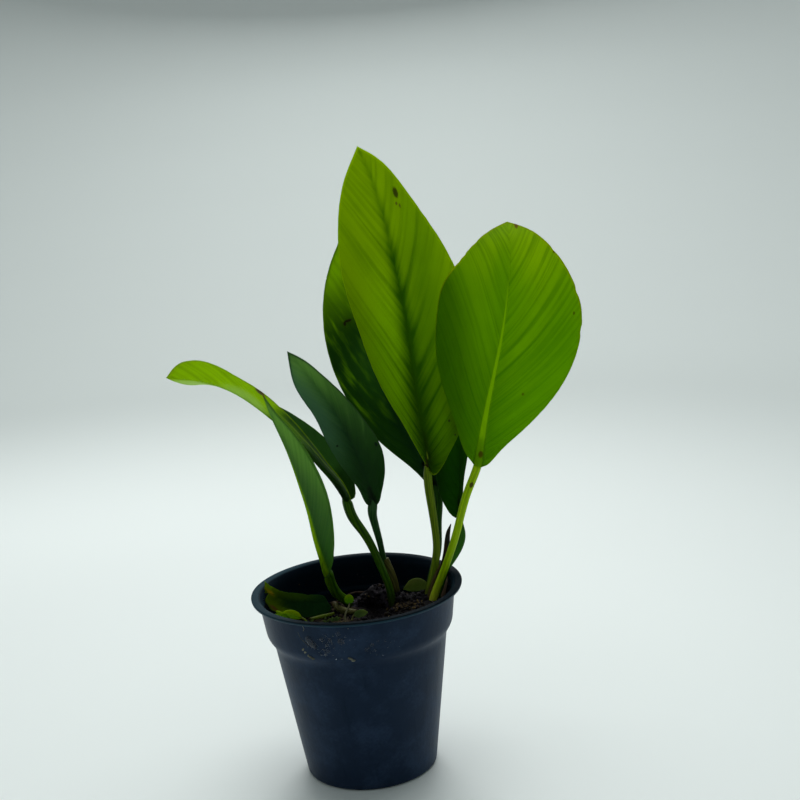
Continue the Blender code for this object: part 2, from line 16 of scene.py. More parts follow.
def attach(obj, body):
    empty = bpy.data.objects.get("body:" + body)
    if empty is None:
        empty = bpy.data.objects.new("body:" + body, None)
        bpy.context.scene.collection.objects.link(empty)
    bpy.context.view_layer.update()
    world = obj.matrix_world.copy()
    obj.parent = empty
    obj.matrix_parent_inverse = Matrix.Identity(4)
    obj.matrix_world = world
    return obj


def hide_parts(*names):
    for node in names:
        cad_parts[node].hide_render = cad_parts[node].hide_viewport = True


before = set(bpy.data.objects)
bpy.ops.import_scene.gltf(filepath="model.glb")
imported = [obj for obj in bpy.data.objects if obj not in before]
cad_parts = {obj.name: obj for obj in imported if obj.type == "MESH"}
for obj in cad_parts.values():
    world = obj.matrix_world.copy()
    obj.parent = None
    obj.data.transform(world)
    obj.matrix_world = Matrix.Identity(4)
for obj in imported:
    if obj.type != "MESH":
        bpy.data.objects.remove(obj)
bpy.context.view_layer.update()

MM = 0.001

# Leaves and stalks. face is where the upper side looks at the blade's foot, middle and tip, fold is in degrees
# and curl in degrees per mm, and a margin's points are distances along the midrib and away from it. A leaf
# without a right margin has its left one on both sides
Leaf = namedtuple("Leaf", "spine face fold curl left right", defaults=(None,))
Stalk = namedtuple("Stalk", "points radii")


def leaflet(spine, face, fold, left, right=None, curl=0.0):
    """A leaf that faces one way and is folded alike all along."""
    return Leaf(spine, (face,) * 3, (fold,) * 3, curl, left, right)


TALL = Leaf(
    spine=[(34.9, 17, 123.5), (32.2, 19, 154.5), (30.4, 21, 184.5), (27.4, 23, 210), (23.8, 26, 233.3),
           (19, 29, 252.3), (15.3, 31, 262.5)],
    face=[(0.8, -1, 0.1), (0, -1, 0.2), (-0.4, -1, 0.3)],
    fold=(22, 14, 8),
    curl=-0.3,
    left=[(4, 2.5), (20, 9.5), (40, 17.1), (65, 21.2), (92, 22.9), (112, 19.8), (131, 11.2)],
    right=[(-2.5, 1.5), (-1, 4.5), (6, 10.5), (12, 15), (22, 19), (40, 23.3), (62, 25.8), (85, 24.9),
           (108, 17.1), (119, 12.7), (131, 7.7)],
)
ROUND = Leaf(
    spine=[(55.2, 0, 128.3), (59.4, -3, 148.4), (64.9, -4, 169), (69.2, -4, 185.3), (72.5, -1, 201),
           (74.5, 4, 213.4), (75.2, 10, 221.4), (75.1, 18, 227)],
    face=[(0.2, 1, 0), (0.2, 1, -0.2), (0.1, 0.6, -0.8)],
    fold=(10, 8, 4),
    curl=-0.1,
    left=[(0.5, 3.0), (5, 6.6), (18, 15.5), (39, 26.9), (57, 31.2), (70, 30.5), (81, 25.8), (95, 15.2), (104.5, 5.5)],
    right=[(1, 2.5), (13, 11), (27, 19), (45, 27), (62, 29.1), (76, 28.1), (92, 19.9), (104.5, 9.8)],
)
BACK = Leaf(
    spine=[(37.1, 37, 108.8), (32.3, 39, 120.3), (25.7, 41, 133.3), (18.6, 43, 150.3), (13, 45, 168.5),
           (8.8, 46, 186.7), (5.7, 47, 202.4), (2.6, 47, 221.2)],
    face=[(0, -1, 0.15), (0, -1, 0.2), (-0.1, -1, 0.3)],
    fold=(12, 12, 8),
    curl=-0.2,
    left=[(2, 1.5), (8, 3.8), (21, 7.9), (36, 13.3), (57, 17.3), (77, 17.4), (96, 13), (110, 6.2)],
    right=[(0, 2.5), (4, 6), (14, 11), (32, 16), (55, 18.5), (78, 17.5), (97, 12.5), (110, 5.5)],
)
DARK = Leaf(
    spine=[(10, 8, 111.8), (9, 7, 119.7), (6.6, 6, 131), (2.6, 5, 142.5), (-4.3, 4, 158.4),
           (-11.1, 3, 169.7), (-16, 2, 178), (-19.7, 2, 182.8)],
    face=[(0.1, -1, 0.3), (0.1, -1, 0.4), (0.1, -1, 0.5)],
    fold=(14, 14, 10),
    curl=-0.3,
    left=[(1, 2.0), (7, 4.3), (20, 7.8), (37, 9.5), (51, 8.5), (63, 7.7), (71, 5.1)],
    right=[(1, 2.0), (5, 4.3), (11, 7.2), (17, 9.5), (27, 10.8), (38, 9.4), (52, 6.9), (66, 4.3), (74, 1.8)],
)
ARCHING = Leaf(
    spine=[(-0.8, 14, 114.1), (-5.9, 13, 123.6), (-11.5, 12, 131.4), (-17.9, 11, 140.1), (-24.3, 10, 147.9),
           (-34, 8, 158.2), (-44.3, 4, 167.4), (-56.3, -1, 173.7), (-69.2, -6, 177.1)],
    face=[(0.75, -0.3, 0.6), (0.5, 0.2, 0.8), (-0.1, 0.95, 0.4)],
    fold=(40, 30, 20),
    curl=0.5,
    left=[(0.5, 3.6), (6, 7.3), (14, 8.6), (27, 9.5), (43, 10.6), (58, 9.8), (73, 8.7), (87, 9.4), (95, 6.1)],
    right=[(-1, 3.2), (2, 5.8), (6, 8.3), (15, 11.2), (27, 12.1), (43, 11.5), (58, 11.2), (70, 12.4), (80, 11.2),
           (90, 5.9)],
)
NARROW = Leaf(
    spine=[(-12.1, 2.2, 86.4), (-13.1, 0.2, 92.7), (-14.8, -3, 102.6), (-16.2, -6, 114.6), (-18.3, -9, 126.8),
           (-23.2, -12, 147.5), (-26.8, -12, 157.8), (-29.9, -12, 169.3)],
    face=[(0.9, -0.2, 0.3), (0.9, 0.1, 0.3), (0.9, 0.3, 0.3)],
    fold=(50, 50, 40),
    curl=0.0,
    left=[(-2.6, 0.9), (0, 2.4), (5, 5.4), (12, 8.7), (25, 11.5), (40, 12.3), (54, 10.8), (68, 7), (80, 2.5)],
)
HIDDEN = Leaf(
    spine=[(46.2, 27, 98.3), (46.5, 28, 106.3), (47.3, 29, 117.4), (48.6, 30, 128.3), (49.6, 31, 141.5),
           (49.2, 32, 159.2), (48.6, 33, 174.5)],
    face=[(-0.7, -0.7, 0.1), (-0.6, -0.8, 0.2), (-0.4, -0.9, 0.3)],
    fold=(30, 25, 15),
    curl=-0.2,
    left=[(0, 2), (4, 6), (9, 8.5), (24, 10.8), (42, 10.5), (60, 6.5), (71, 2.5)],
    right=[(0.5, 1.4), (7, 3.8), (16, 5.2), (28, 7.2), (44, 8.8), (60, 6), (71, 2.5)],
)
TALL_STALK = Stalk(
    [(29.4, 11, 64), (30.1, 11, 70), (31.9, 11.5, 76), (34.1, 12.5, 83.8), (35.1, 13.5, 89.7),
     (35.1, 15, 97.4), (34.2, 16.5, 110.5), (33.9, 17.6, 122.2)],
    [1.9, 1.85, 1.8, 1.7, 1.6, 1.6, 1.85, 1.9],
)
ROUND_STALK = Stalk(
    [(30.8, 6, 64), (32.2, 5.7, 70), (35.6, 5.4, 78), (39.5, 3.5, 87.3), (44.5, 1, 101), (50.4, 0, 118.3),
     (54.7, 0, 127.7)],
    [1.9, 1.75, 1.65, 1.6, 1.65, 1.7, 1.75],
)
BACK_STALK = Stalk(
    [(29.5, 17, 64), (30.3, 17.2, 70), (33, 18.2, 79.5), (34.9, 21.5, 84), (35.9, 26, 89.3), (36.5, 32, 97),
     (37.1, 36.9, 108.2)],
    [1.8, 1.7, 1.5, 1.6, 1.7, 1.8, 1.9],
)
DARK_STALK = Stalk(
    [(13.9, 18.5, 64), (13.5, 18.5, 72), (12.9, 18.4, 78), (11.7, 18, 84.7), (10.9, 16, 92.2),
     (9.2, 12.2, 104.5), (9.3, 8.4, 111.4)],
    [1.6, 1.5, 1.4, 1.3, 1.35, 1.75, 2.1],
)
ARCHING_STALK = Stalk(
    [(14.2, 12, 64), (13.5, 12.6, 72), (12.6, 13, 76.2), (10.3, 13.5, 83.5), (7.8, 14, 90.8), (3.8, 14, 99.7),
     (0.1, 14, 106.3), (-1.6, 14, 113.5)],
    [1.8, 1.7, 1.65, 1.7, 1.75, 1.9, 2.2, 2.3],
)
NARROW_STALK = Stalk(
    [(-3, 22.5, 62), (-6.4, 21.4, 66), (-9.4, 17.5, 70.3), (-11.0, 12, 75.8), (-11.6, 7, 81.2),
     (-11.8, 2.8, 86.3)],
    [2.1, 2.1, 2.1, 2.2, 2.2, 2.0],
)
HIDDEN_STALK = Stalk(
    [(34.5, 10.2, 64), (35.3, 10, 70), (36.9, 10, 76.5), (38.2, 10.4, 80.2), (41.2, 13.5, 83.8),
     (44.6, 18, 87.6), (46.6, 23, 92.2), (46.1, 26.9, 97.6)],
    [1.3, 1.2, 1.2, 1.3, 1.5, 1.7, 1.6, 1.3],
)
NEW_SHOOT = Stalk(
    [(33.4, 14, 64), (33.8, 14.2, 70), (35.8, 14, 77.5), (38.2, 13.5, 84.1), (39.7, 13, 91), (40.7, 13, 96.7),
     (42.1, 13, 100.2)],
    [1.3, 1.2, 1.2, 1.3, 1.3, 0.9, 0.2],
)
RHIZOME = Stalk(
    [(-7, 22.5, 61.5), (0, 22.5, 63.5), (7, 21.8, 67), (14, 17.5, 66), (21, 13.5, 65), (28, 11.5, 65.8),
     (34.5, 10.4, 66.5)],
    [2.6, 3.2, 4.8, 4.8, 4.2, 5.0, 2.8],
)
MIDDLE_SHEATH = Stalk(
    [(15.6, 16.5, 68.6), (15.0, 17.0, 75), (13.9, 17.6, 80), (12.4, 18.1, 85.2)],
    [2.1, 2.0, 1.8, 1.4],
)
RIGHT_SHEATH = leaflet([(35.6, 3.6, 69.4), (37.6, 3.1, 75.8), (38.9, 2.7, 80.3)], (0.8, -0.6, 0), 0,
                       [(1, 1.1), (6, 1.2), (10, 0.6)], curl=-14.0)
TORN = Leaf(
    spine=[(-14.4, 18, 67.2), (-21.2, 15, 68.6), (-27.5, 12.5, 70.1), (-33.1, 10, 72.9), (-37.1, 9.2, 77.4),
           (-40.2, 10.5, 81.6)],
    face=[(0.1, -0.42, 0.9), (0.3, -0.45, 0.82), (0.8, -0.4, 0.5)],
    fold=(3, 3, 2),
    curl=0.0,
    left=[(0, 5), (6, 8.2), (14, 9.6), (20, 9.8), (26.5, 8.6), (29, 5), (31.2, 1.8)],
    right=[(1, 4), (6, 4.8), (13, 5.2), (20, 4.6), (26, 2.9), (30.5, 1.0)],
)
SMALL_BACK = leaflet([(18.6, 26.5, 67.6), (24.4, 26.5, 68.6), (30.8, 23.8, 68.8)], (0, -0.95, 0.3), 5,
                     [(2, 2.0), (5, 3.6), (8.5, 3.4)], [(2, 1.6), (5, 2.4), (8.5, 2.2)])
LIME_SEEDLING = leaflet([(-24.4, 0, 67.4), (-28, 0, 69.2), (-31.5, 0.3, 69.7), (-34.2, 0.8, 69.4)], (0, -0.8, 0.6), 10,
                        [(1.5, 1.4), (4.2, 2.1), (7.4, 1.6)])
LIME_LEAFLET = leaflet([(-29.4, -1.2, 68.6), (-32.2, -0.6, 69.4), (-35.0, 0.4, 70.2)], (0.2, -0.8, 0.6), 8,
                       [(1.5, 1.0), (4, 1.5), (7, 0.9)])
ROUND_SEEDLING = leaflet([(-4, 3.6, 71), (-4, 3.5, 73.2), (-4, 3.9, 75.2)], (0.1, -0.9, 0.5), 4,
                         [(0.4, 1.4), (2, 2.2), (3.7, 1.4)])
OLIVE_SEEDLING = leaflet([(-2.6, -1, 67.2), (0.6, -0.8, 67.8), (3.8, -0.4, 68.1)], (0, -0.8, 0.6), 8,
                         [(1, 1.3), (3, 1.9), (5.4, 1.3)])
ROUND_SEEDLING_STEM = Stalk([(-6, -2.5, 64.5), (-5.8, -0.4, 68), (-4.2, 3, 70.3)], [0.45, 0.4, 0.4])
LIME_SEEDLING_STEM = Stalk([(-22.6, -2.6, 63.5), (-22.5, -1.2, 65.8), (-23.7, -0.2, 67.1)], [0.6, 0.5, 0.4])
OLIVE_SEEDLING_STEM = Stalk([(-3.4, -3, 64), (-3.2, -2, 65.6), (-2.9, -1.2, 66.4)], [0.5, 0.4, 0.4])
TALL_SHEATH = Stalk([(29.2, 8.4, 66), (30.6, 8.8, 71), (33.2, 9.5, 77.5), (36.2, 10.4, 83.6)], [0.9, 0.9, 0.8, 0.25])
PALE_ROOT = Stalk([(-7, 29, 66), (-3, 29.5, 66.6), (0.5, 28.6, 66.8), (3.5, 27.2, 66.6)], [0.4, 0.6, 0.6, 0.4])
OLIVE_STRIP = Stalk([(-12, 19.5, 66), (-9, 14, 65), (-5.5, 11, 64.9), (-1.5, 9, 65.2)], [1.2, 1.6, 1.5, 0.9])
LIME_STRIP = Stalk([(-21.7, 5, 64.9), (-16.6, 7.2, 64.8), (-11.5, 9.6, 65)], [0.6, 0.9, 0.6])

# Pot and soil
POT_HEIGHT = 80.0
LIP_RADIUS = 45.0
LIP_INNER_RADIUS = 41.6
LIP_DEPTH = 2.8
COLLAR_TOP_RADIUS = 41.5
COLLAR_BOTTOM_RADIUS = 39.6
COLLAR_BOTTOM = 62.2
STEP_RADIUS = 36.9
STEP_BOTTOM = 58.5
LEDGE_TOP = 66.6
LEDGE_BOTTOM = 65.4
LEDGE_WIDTH = 0.7
BASE_RADIUS = 28.0
WALL = 1.2
FLOOR = 1.6
GAP = 0.35
SOIL_LEVEL = 65.5


def natural_curve(places, values):
    """A function: the natural cubic spline through the values."""
    count = len(places)
    widths = np.diff(places)
    slopes = np.diff(values, axis=0) / widths[:, None]
    system = np.eye(count)
    right_side = np.zeros_like(values)
    for i in range(1, count - 1):
        system[i, i - 1:i + 2] = widths[i - 1], 2 * (widths[i - 1] + widths[i]), widths[i]
        right_side[i] = 6 * (slopes[i] - slopes[i - 1])
    bends = np.linalg.solve(system, right_side)

    def at(place):
        i = np.clip(np.searchsorted(places, place) - 1, 0, count - 2)
        width = widths[i][:, None]
        done = (place - places[i])[:, None]
        left = (places[i + 1] - place)[:, None]
        cubic = (bends[i] * left**3 + bends[i + 1] * done**3) / (6 * width)
        start = (values[i] / width - bends[i] * width / 6) * left
        end = (values[i + 1] / width - bends[i + 1] * width / 6) * done
        return cubic + start + end

    return at


def unit(vectors):
    """The vectors, each one long."""
    return vectors / np.linalg.norm(vectors, axis=-1, keepdims=True)


class Course:
    """A smooth line through points, read by distances along it and straight beyond its ends."""

    SAMPLES = 400

    def __init__(self, points):
        points = np.array(points, float)
        chords = np.concatenate([[0.0], np.cumsum(np.linalg.norm(np.diff(points, axis=0), axis=1))])
        steps = np.linspace(0, chords[-1], self.SAMPLES)
        self.fine = natural_curve(chords, points)(steps)
        strides = np.linalg.norm(np.diff(self.fine, axis=0), axis=1)
        self.places = np.concatenate([[0.0], np.cumsum(strides)])
        self.length = self.places[-1]
        self.stations = np.interp(chords, steps, self.places)
        self.slopes = np.gradient(self.fine, self.places, axis=0)

    def read(self, table, distance):
        return np.stack([np.interp(distance, self.places, column) for column in table.T], axis=-1)

    def direction(self, distance):
        return unit(self.read(self.slopes, np.clip(distance, 0, self.length)))

    def at(self, distance):
        inside = np.clip(distance, 0, self.length)
        return self.read(self.fine, inside) + self.direction(inside) * (distance - inside)[..., None]


def three(values, t):
    """The quadratic through values at the start, the middle and the end."""
    t = np.clip(t, 0, 1)[..., None]
    first, middle, last = (np.atleast_1d(np.asarray(v, float)) for v in values)
    return first * (1 - t) * (1 - 2 * t) + middle * 4 * t * (1 - t) + last * t * (2 * t - 1)


def blade_frame(leaf, spine, along):
    """The sideways and the upper directions of the blade at distances along the midrib."""
    forward = spine.direction(along)
    face = three(leaf.face, along / spine.length)
    upper = unit(face - (face * forward).sum(-1, keepdims=True) * forward)
    return np.cross(forward, upper), upper


CREASE = 0.5  # how far from the midrib the fold is rounded


def on_blade(leaf, spine, along, across, above):
    """Points at distances along the midrib, away from it and above the blade's middle."""
    sideways, upper = blade_frame(leaf, spine, along)
    fold = np.radians(three(leaf.fold, along / spine.length)[..., 0])
    bend = math.radians(leaf.curl) or 1e-6
    reach = np.sqrt(across**2 + CREASE**2) - CREASE
    slant = fold + bend * reach
    out = (np.sin(slant) - np.sin(fold)) / bend
    out = out * np.abs(across) / np.maximum(reach, 1e-9)
    rise = (np.cos(fold) - np.cos(slant)) / bend
    turned = slant * np.clip(np.abs(across) / (3 * CREASE), 0, 1)
    out = np.sign(across) * (out - above * np.sin(turned))
    rise = rise + above * np.cos(turned)
    return spine.at(along) + out[..., None] * sideways + rise[..., None] * upper


def wave(points, seed):
    """Smooth noise from about -1 to 1 at points."""
    shift = Vector((seed * 13.1, seed * 7.7, seed * 3.3))
    return np.array([noise.noise(Vector(p) + shift) for p in points])


def skin(rings, first, last):
    """The points and faces of a closed skin over equal rings, with a point at each end."""
    count, size = rings.shape[:2]
    points = np.concatenate([rings.reshape(-1, 3), [first, last]])
    ring = np.arange(count * size).reshape(count, size)
    turned = np.roll(ring, -1, axis=1)
    quads = np.stack([ring[:-1], turned[:-1], turned[1:], ring[1:]], axis=-1).reshape(-1, 4)
    start = np.stack([turned[0], ring[0], np.full(size, count * size)], axis=-1)
    end = np.stack([ring[-1], turned[-1], np.full(size, count * size + 1)], axis=-1)
    faces = quads.tolist() + start.tolist() + end.tolist()
    fans = np.concatenate([quads[:, [0, 1, 2]], quads[:, [0, 2, 3]], start, end])
    a, b, c = (points[fans[:, i]] for i in range(3))
    if (np.cross(a, b) * c).sum() < 0:
        faces = [face[::-1] for face in faces]
    return points, faces


Shell = namedtuple("Shell", "points faces place make surface")


def add_piece(name, shells, surfaces, replaced=()):
    """One object from closed shells, each with its surface's number and its two coordinates."""
    points = []
    faces = []
    worn = []
    start = 0
    for shell in shells:
        points.append(shell.points)
        faces += [[corner + start for corner in face] for face in shell.faces]
        worn += [shell.surface] * len(shell.faces)
        start += len(shell.points)
    mesh = bpy.data.meshes.new(name)
    mesh.from_pydata((np.concatenate(points) * MM).tolist(), [], faces)
    for surface in surfaces:
        mesh.materials.append(surface)
    mesh.polygons.foreach_set("material_index", worn)
    for label in ("place", "make"):
        values = np.concatenate([getattr(shell, label) for shell in shells])
        made = mesh.attributes.new(label, "FLOAT_VECTOR", "POINT")
        made.data.foreach_set("vector", values.astype(np.float32).ravel())
    mesh.shade_smooth()
    mesh.update()
    piece = bpy.data.objects.new(name, mesh)
    bpy.context.collection.objects.link(piece)
    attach(piece, "root")
    if replaced:
        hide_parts(*replaced)


# Each blade's make: its side veins and how steeply they rise, its relief and thickness, the bites in its margins
# (margin's number, place, depth, width), and how its veins lean in each half
Relief = namedtuple(
    "Relief", "veins rise quilt ripple frill thickness seed notches lean",
    defaults=(2.6, 0.1, 0.25, 0.3, 0.42, 1, (), (1, 1)),
)
PER_VEIN = 9  # rows of points for each side vein


def vein_rows(veins):
    """Row places in vein widths, crowded towards the veins."""
    steps = (np.arange(PER_VEIN) + 0.5) / PER_VEIN - 0.5
    crowded = np.sign(steps) * np.abs(2 * steps) ** 1.6 / 2
    rows = (np.arange(veins + 1)[:, None] + crowded).ravel()
    return rows[(rows > 0.02) & (rows < veins - 0.03)]


RIB_SHARES = (0, 0.04, 0.1, 0.18, 0.28, 0.4, 0.55, 0.7, 0.86, 1)
RIB_RADII = (1, 0.93, 0.82, 0.67, 0.52, 0.39, 0.27, 0.18, 0.1, 0.03)
RIB_COLUMNS = np.array([0.2, 0.4, 0.7, 1.0, 1.4, 2.0])


def blade_shell(leaf, look, columns, rib=0.05):
    """The blade as a thin closed sheet. Its rows follow its side veins, and its midrib swells below it."""
    spine = Course(leaf.spine)
    length = spine.length
    ends = (0.0, 0.0), (length, 0.0)
    margins = [Course([ends[0], *side, ends[1]]) for side in (leaf.left, leaf.right or leaf.left)]
    vein = vein_rows(look.veins)
    uneven = 0.3 * wave(np.stack([vein * 0.9, vein * 0, vein * 0], -1), look.seed + 3)
    share = (vein + uneven * np.clip(np.minimum(vein, look.veins - vein), 0, 1)) / look.veins
    behind = 0.08 * share + 0.92 * share**look.rise
    outer = 1 - (1 - np.linspace(0, 1, columns + 1)[1:]) ** 1.3
    sheets = []
    for number, margin in enumerate(margins):
        place = margin.length * share ** look.lean[number]
        edge = margin.at(place)
        wide = np.abs(edge[:, 1])
        for side, at, depth, width in look.notches:
            if side == number:
                wide = wide - depth * np.exp(-((place - at) / width) ** 2)
        rough = wave(np.stack([place / 3.0, np.full_like(place, number), place * 0], -1), look.seed)
        wide = (wide + 0.12 * (rough - 1.1) * np.minimum(wide, 1))[:, None]
        near = RIB_COLUMNS * np.minimum(1, 0.2 * wide)
        across = np.concatenate([near, near[:, -1:] + (wide - near[:, -1:]) * outer], axis=1)
        t = across / wide
        along = length * behind[:, None] + (edge[:, :1] - length * behind[:, None]) * (0.8 * t + 0.2 * t**2)
        sheets.append((along, across * (1 if number else -1), wide - across, t))
    middle = length * behind[:, None]
    none = np.zeros_like(middle)
    left, right = sheets
    along, across, edge, t = (
        np.concatenate([a[:, ::-1], m, b], axis=1)
        for a, m, b in zip(left, (middle, none, none + 9.0, none), right)
    )
    where = np.stack([along / 14, across / 14, np.zeros_like(along)], -1).reshape(-1, 3)
    ripples = wave(where, look.seed).reshape(along.shape)
    frills = wave(where * [1.1, 0.3, 1], look.seed + 5).reshape(along.shape)
    force = 0.6 + 0.7 * wave(where * [1.6, 0.8, 1], look.seed + 9).reshape(along.shape)
    fading = np.clip(share * 8, 0, 1)[:, None] * np.clip((1 - share) * 8, 0, 1)[:, None]
    between = -np.cos(2 * math.pi * vein)[:, None] * np.sin(math.pi * t**0.7) * force
    height = look.quilt * between + look.ripple * ripples * np.sqrt(t) + look.frill * frills * t**3
    height = height * fading
    half = look.thickness / 2 * np.sqrt(1 - (1 - np.clip(edge / 0.25, 0, 1)) ** 2)
    groove = 0.15 * np.exp(-((across / 0.9) ** 2)) * np.clip((1 - share) * 1.4, 0, 1)[:, None]
    line = np.exp(-((np.abs((vein + 0.5) % 1 - 0.5) / 0.07) ** 2))[:, None]
    line = 0.05 * line * np.clip(t * 6, 0, 1) * (1 - t**2)
    radius = np.maximum(rib * np.interp(along / length, RIB_SHARES, RIB_RADII), 0.01)
    keel = 0.85 * radius * np.exp(-0.7 * (across / radius) ** 4)
    upper = on_blade(leaf, spine, along, across, height + half - (groove + line) * (half > 0))
    lower = on_blade(leaf, spine, along, across, height - half - (keel + line) * (half > 0))
    rings = np.concatenate([upper, lower[:, -2:0:-1]], axis=1)
    points, faces = skin(rings, *spine.at(np.array([0.0, length])))

    def both(values, below=None):
        below = values if below is None else below
        return np.concatenate([values, below[:, -2:0:-1]], axis=1).ravel()

    place = np.stack([both(along), both(across), both(edge)], -1)
    under = both(np.zeros_like(along), np.ones_like(along))
    make = np.stack([both(vein[:, None] + np.zeros_like(along)), under, both(along / length)], -1)
    place_ends = np.array([[0, 0, 1.0], [length, 0, 0]])
    make_ends = np.array([[0, 0, 0], [look.veins, 0, 1.0]])
    return Shell(points, faces, np.concatenate([place, place_ends]), np.concatenate([make, make_ends]), 0)


RIDGES = 0.02  # share of a stalk's radius by which its five ridges rise


def stalk_shell(stalk, leaf=None, sides=16, step=1.0, surface=1):
    """The stalk as a tapering tube, which sinks into the swelling of its blade's midrib."""
    points = list(stalk.points)
    radii = list(stalk.radii)
    if leaf:
        spine = Course(leaf.spine)
        for share, factor in ((0.03, 0.88), (0.07, 0.7), (0.12, 0.4)):
            points.append(tuple(spine.at(np.array([share * spine.length]))[0]))
            radii.append(stalk.radii[-1] * factor)
    course = Course(points)
    joint = course.stations[len(stalk.points) - 1]
    count = max(int(course.length / step), 4)
    distance = np.linspace(0, course.length, count)
    forward = course.direction(distance)
    radius = np.interp(distance, course.stations, radii)
    across = np.zeros((count, 3))
    held = unit(np.cross(forward[0], [0.3, 0.9, 0.2]))
    if leaf:
        held = blade_frame(leaf, spine, np.array([0.0]))[0][0]
    low = min(int(np.searchsorted(distance, joint)), count - 1)
    for i in [*range(low, -1, -1), *range(low + 1, count)]:
        if leaf and i > low:
            held = blade_frame(leaf, spine, np.array([distance[i] - joint]))[0][0]
        elif i == low + 1:
            held = across[low]
        held = unit(held - held.dot(forward[i]) * forward[i])
        across[i] = held
    over = np.cross(across, forward)
    angle = 2 * math.pi * (np.arange(sides) + 0.5) / sides
    merge = np.clip((distance - joint + 2) / 6, 0, 1) if leaf else np.zeros(count)
    merge = (merge * merge * (3 - 2 * merge))[:, None]
    groove = 0.1 * np.exp(-((angle - math.pi / 2) / 0.35) ** 2)
    radial = radius[:, None] * (1 + RIDGES * np.cos(5 * angle + 1) - groove)
    sine = np.sin(angle)
    drop = np.where(sine > 0, radial * (1 - merge), radial * (1 - 0.15 * merge)) * sine
    rings = (
        course.at(distance)[:, None]
        + (radial * np.cos(angle))[..., None] * across[:, None]
        + drop[..., None] * over[:, None]
    )
    points, faces = skin(rings, *course.at(np.array([-0.3, course.length + 0.2]) if leaf else distance[[0, -1]]))
    along = np.repeat((distance - joint)[:, None], sides, axis=1).ravel()
    turn = (radius[:, None] * angle).ravel()
    place = np.stack([along, turn, np.full_like(along, 9.0)], -1)
    make = np.stack([np.tile(angle, count), 0 * along, along / max(joint, 1e-6)], -1)
    tails = np.zeros((2, 3))
    return Shell(points, faces, np.concatenate([place, tails]), np.concatenate([make, tails]), surface)


def srgb(red, green, blue):
    """A colour on the screen's 0 to 255 scale, as the shader's linear values."""
    return (*[v / 255 / 12.92 if v < 11 else ((v / 255 + 0.055) / 1.055) ** 2.4 for v in (red, green, blue)], 1.0)


def passed(colour, through):
    """The colour for each of a thin sheet's two faces that lets the given colour through both."""
    return (*[min(math.sqrt(v * 0.9) / through, 1.0) for v in colour[:3]], 1.0)


class Surface:
    """One material and the nodes that it is made of."""

    def __init__(self, name):
        self.material = bpy.data.materials.new(name)
        self.material.use_nodes = True
        self.tree = self.material.node_tree
        self.tree.nodes.clear()
        self.output = self.tree.nodes.new("ShaderNodeOutputMaterial")

    def node(self, kind, inputs=None, **settings):
        made = self.tree.nodes.new("ShaderNode" + kind)
        for key, value in settings.items():
            setattr(made, key, value)
        for socket, value in (inputs or {}).items():
            if isinstance(value, bpy.types.NodeSocket):
                self.tree.links.new(value, made.inputs[socket])
            else:
                made.inputs[socket].default_value = value
        return made

    def math(self, operation, *values, clamp=False):
        return self.node("Math", dict(enumerate(values)), operation=operation, use_clamp=clamp).outputs[0]

    def add(self, total, *values, clamp=False):
        """The sum of all, held between 0 and 1 if clamped."""
        for value in values:
            total = self.math("ADD", total, value, clamp=clamp and value is values[-1])
        return total

    def mul(self, product, *values):
        for value in values:
            product = self.math("MULTIPLY", product, value)
        return product

    def sub(self, first, second):
        return self.math("SUBTRACT", first, second)

    def swing(self, noise_value, amount):
        """Noise spread evenly about zero."""
        return self.mul(self.sub(noise_value, 0.5), amount)

    def smooth(self, value, low, high, to_low=0.0, to_high=1.0):
        """Rises smoothly from one value to another as value goes from low to high."""
        inputs = {"Value": value, "From Min": low, "From Max": high, "To Min": to_low, "To Max": to_high}
        return self.node("MapRange", inputs, interpolation_type="SMOOTHSTEP").outputs[0]

    def hump(self, value, width):
        """One where value is 0, falling away over width to each side."""
        return self.math("EXPONENT", self.mul(self.math("POWER", self.math("DIVIDE", value, width), 2.0), -1.0))

    def blend(self, factor, *colours):
        """Between two colours: sockets, linear values, or screen colours of three numbers."""
        first, second = (srgb(*c) if isinstance(c, tuple) and len(c) == 3 else c for c in colours)
        return self.node("Mix", {0: factor, 6: first, 7: second}, data_type="RGBA").outputs[2]

    def lay(self, factor, layers, overs):
        """Each layer's colour with another laid over it."""
        return [self.blend(factor, layer, over) for layer, over in zip(layers, overs)]

    def attribute(self, name):
        return self.node("SeparateXYZ", {0: self.node("Attribute", attribute_name=name).outputs["Vector"]}).outputs

    def position(self):
        return self.node("NewGeometry").outputs["Position"]

    def combine(self, x, y, z=0.0):
        return self.node("CombineXYZ", {0: x, 1: y, 2: z}).outputs[0]

    def vector(self, operation, *values, out="Vector"):
        return self.node("VectorMath", dict(enumerate(values)), operation=operation).outputs[out]

    def scaled(self, vector, x, y, z):
        return self.vector("MULTIPLY", vector, (x, y, z))

    def length(self, vector):
        return self.vector("LENGTH", vector, out="Value")

    def noise(self, vector, scale, detail=3.0, roughness=0.5):
        inputs = {"Vector": vector, "Scale": scale, "Detail": detail, "Roughness": roughness}
        return self.node("TexNoise", inputs).outputs[0]

    def bump(self, height, distance, strength=1.0, **under):
        """The normal raised by height; Normal is the one under it."""
        return self.node("Bump", {"Height": height, "Distance": distance, "Strength": strength, **under}).outputs[0]

    def body(self, colour, rough, normal, level, others=None):
        inputs = {"Base Color": colour, "Roughness": rough, "Normal": normal, "Specular IOR Level": level}
        return self.node("BsdfPrincipled", {**inputs, **(others or {})}).outputs[0]

    def lit_through(self, body, colour, normal, through):
        """The material, with a share of the light passing through in the colour."""
        light = self.node("BsdfTranslucent", {"Color": colour, "Normal": normal}).outputs[0]
        return self.finish(self.node("MixShader", {0: through, 1: body, 2: light}).outputs[0])

    def finish(self, shader):
        self.tree.links.new(shader, self.output.inputs["Surface"])
        return self.material


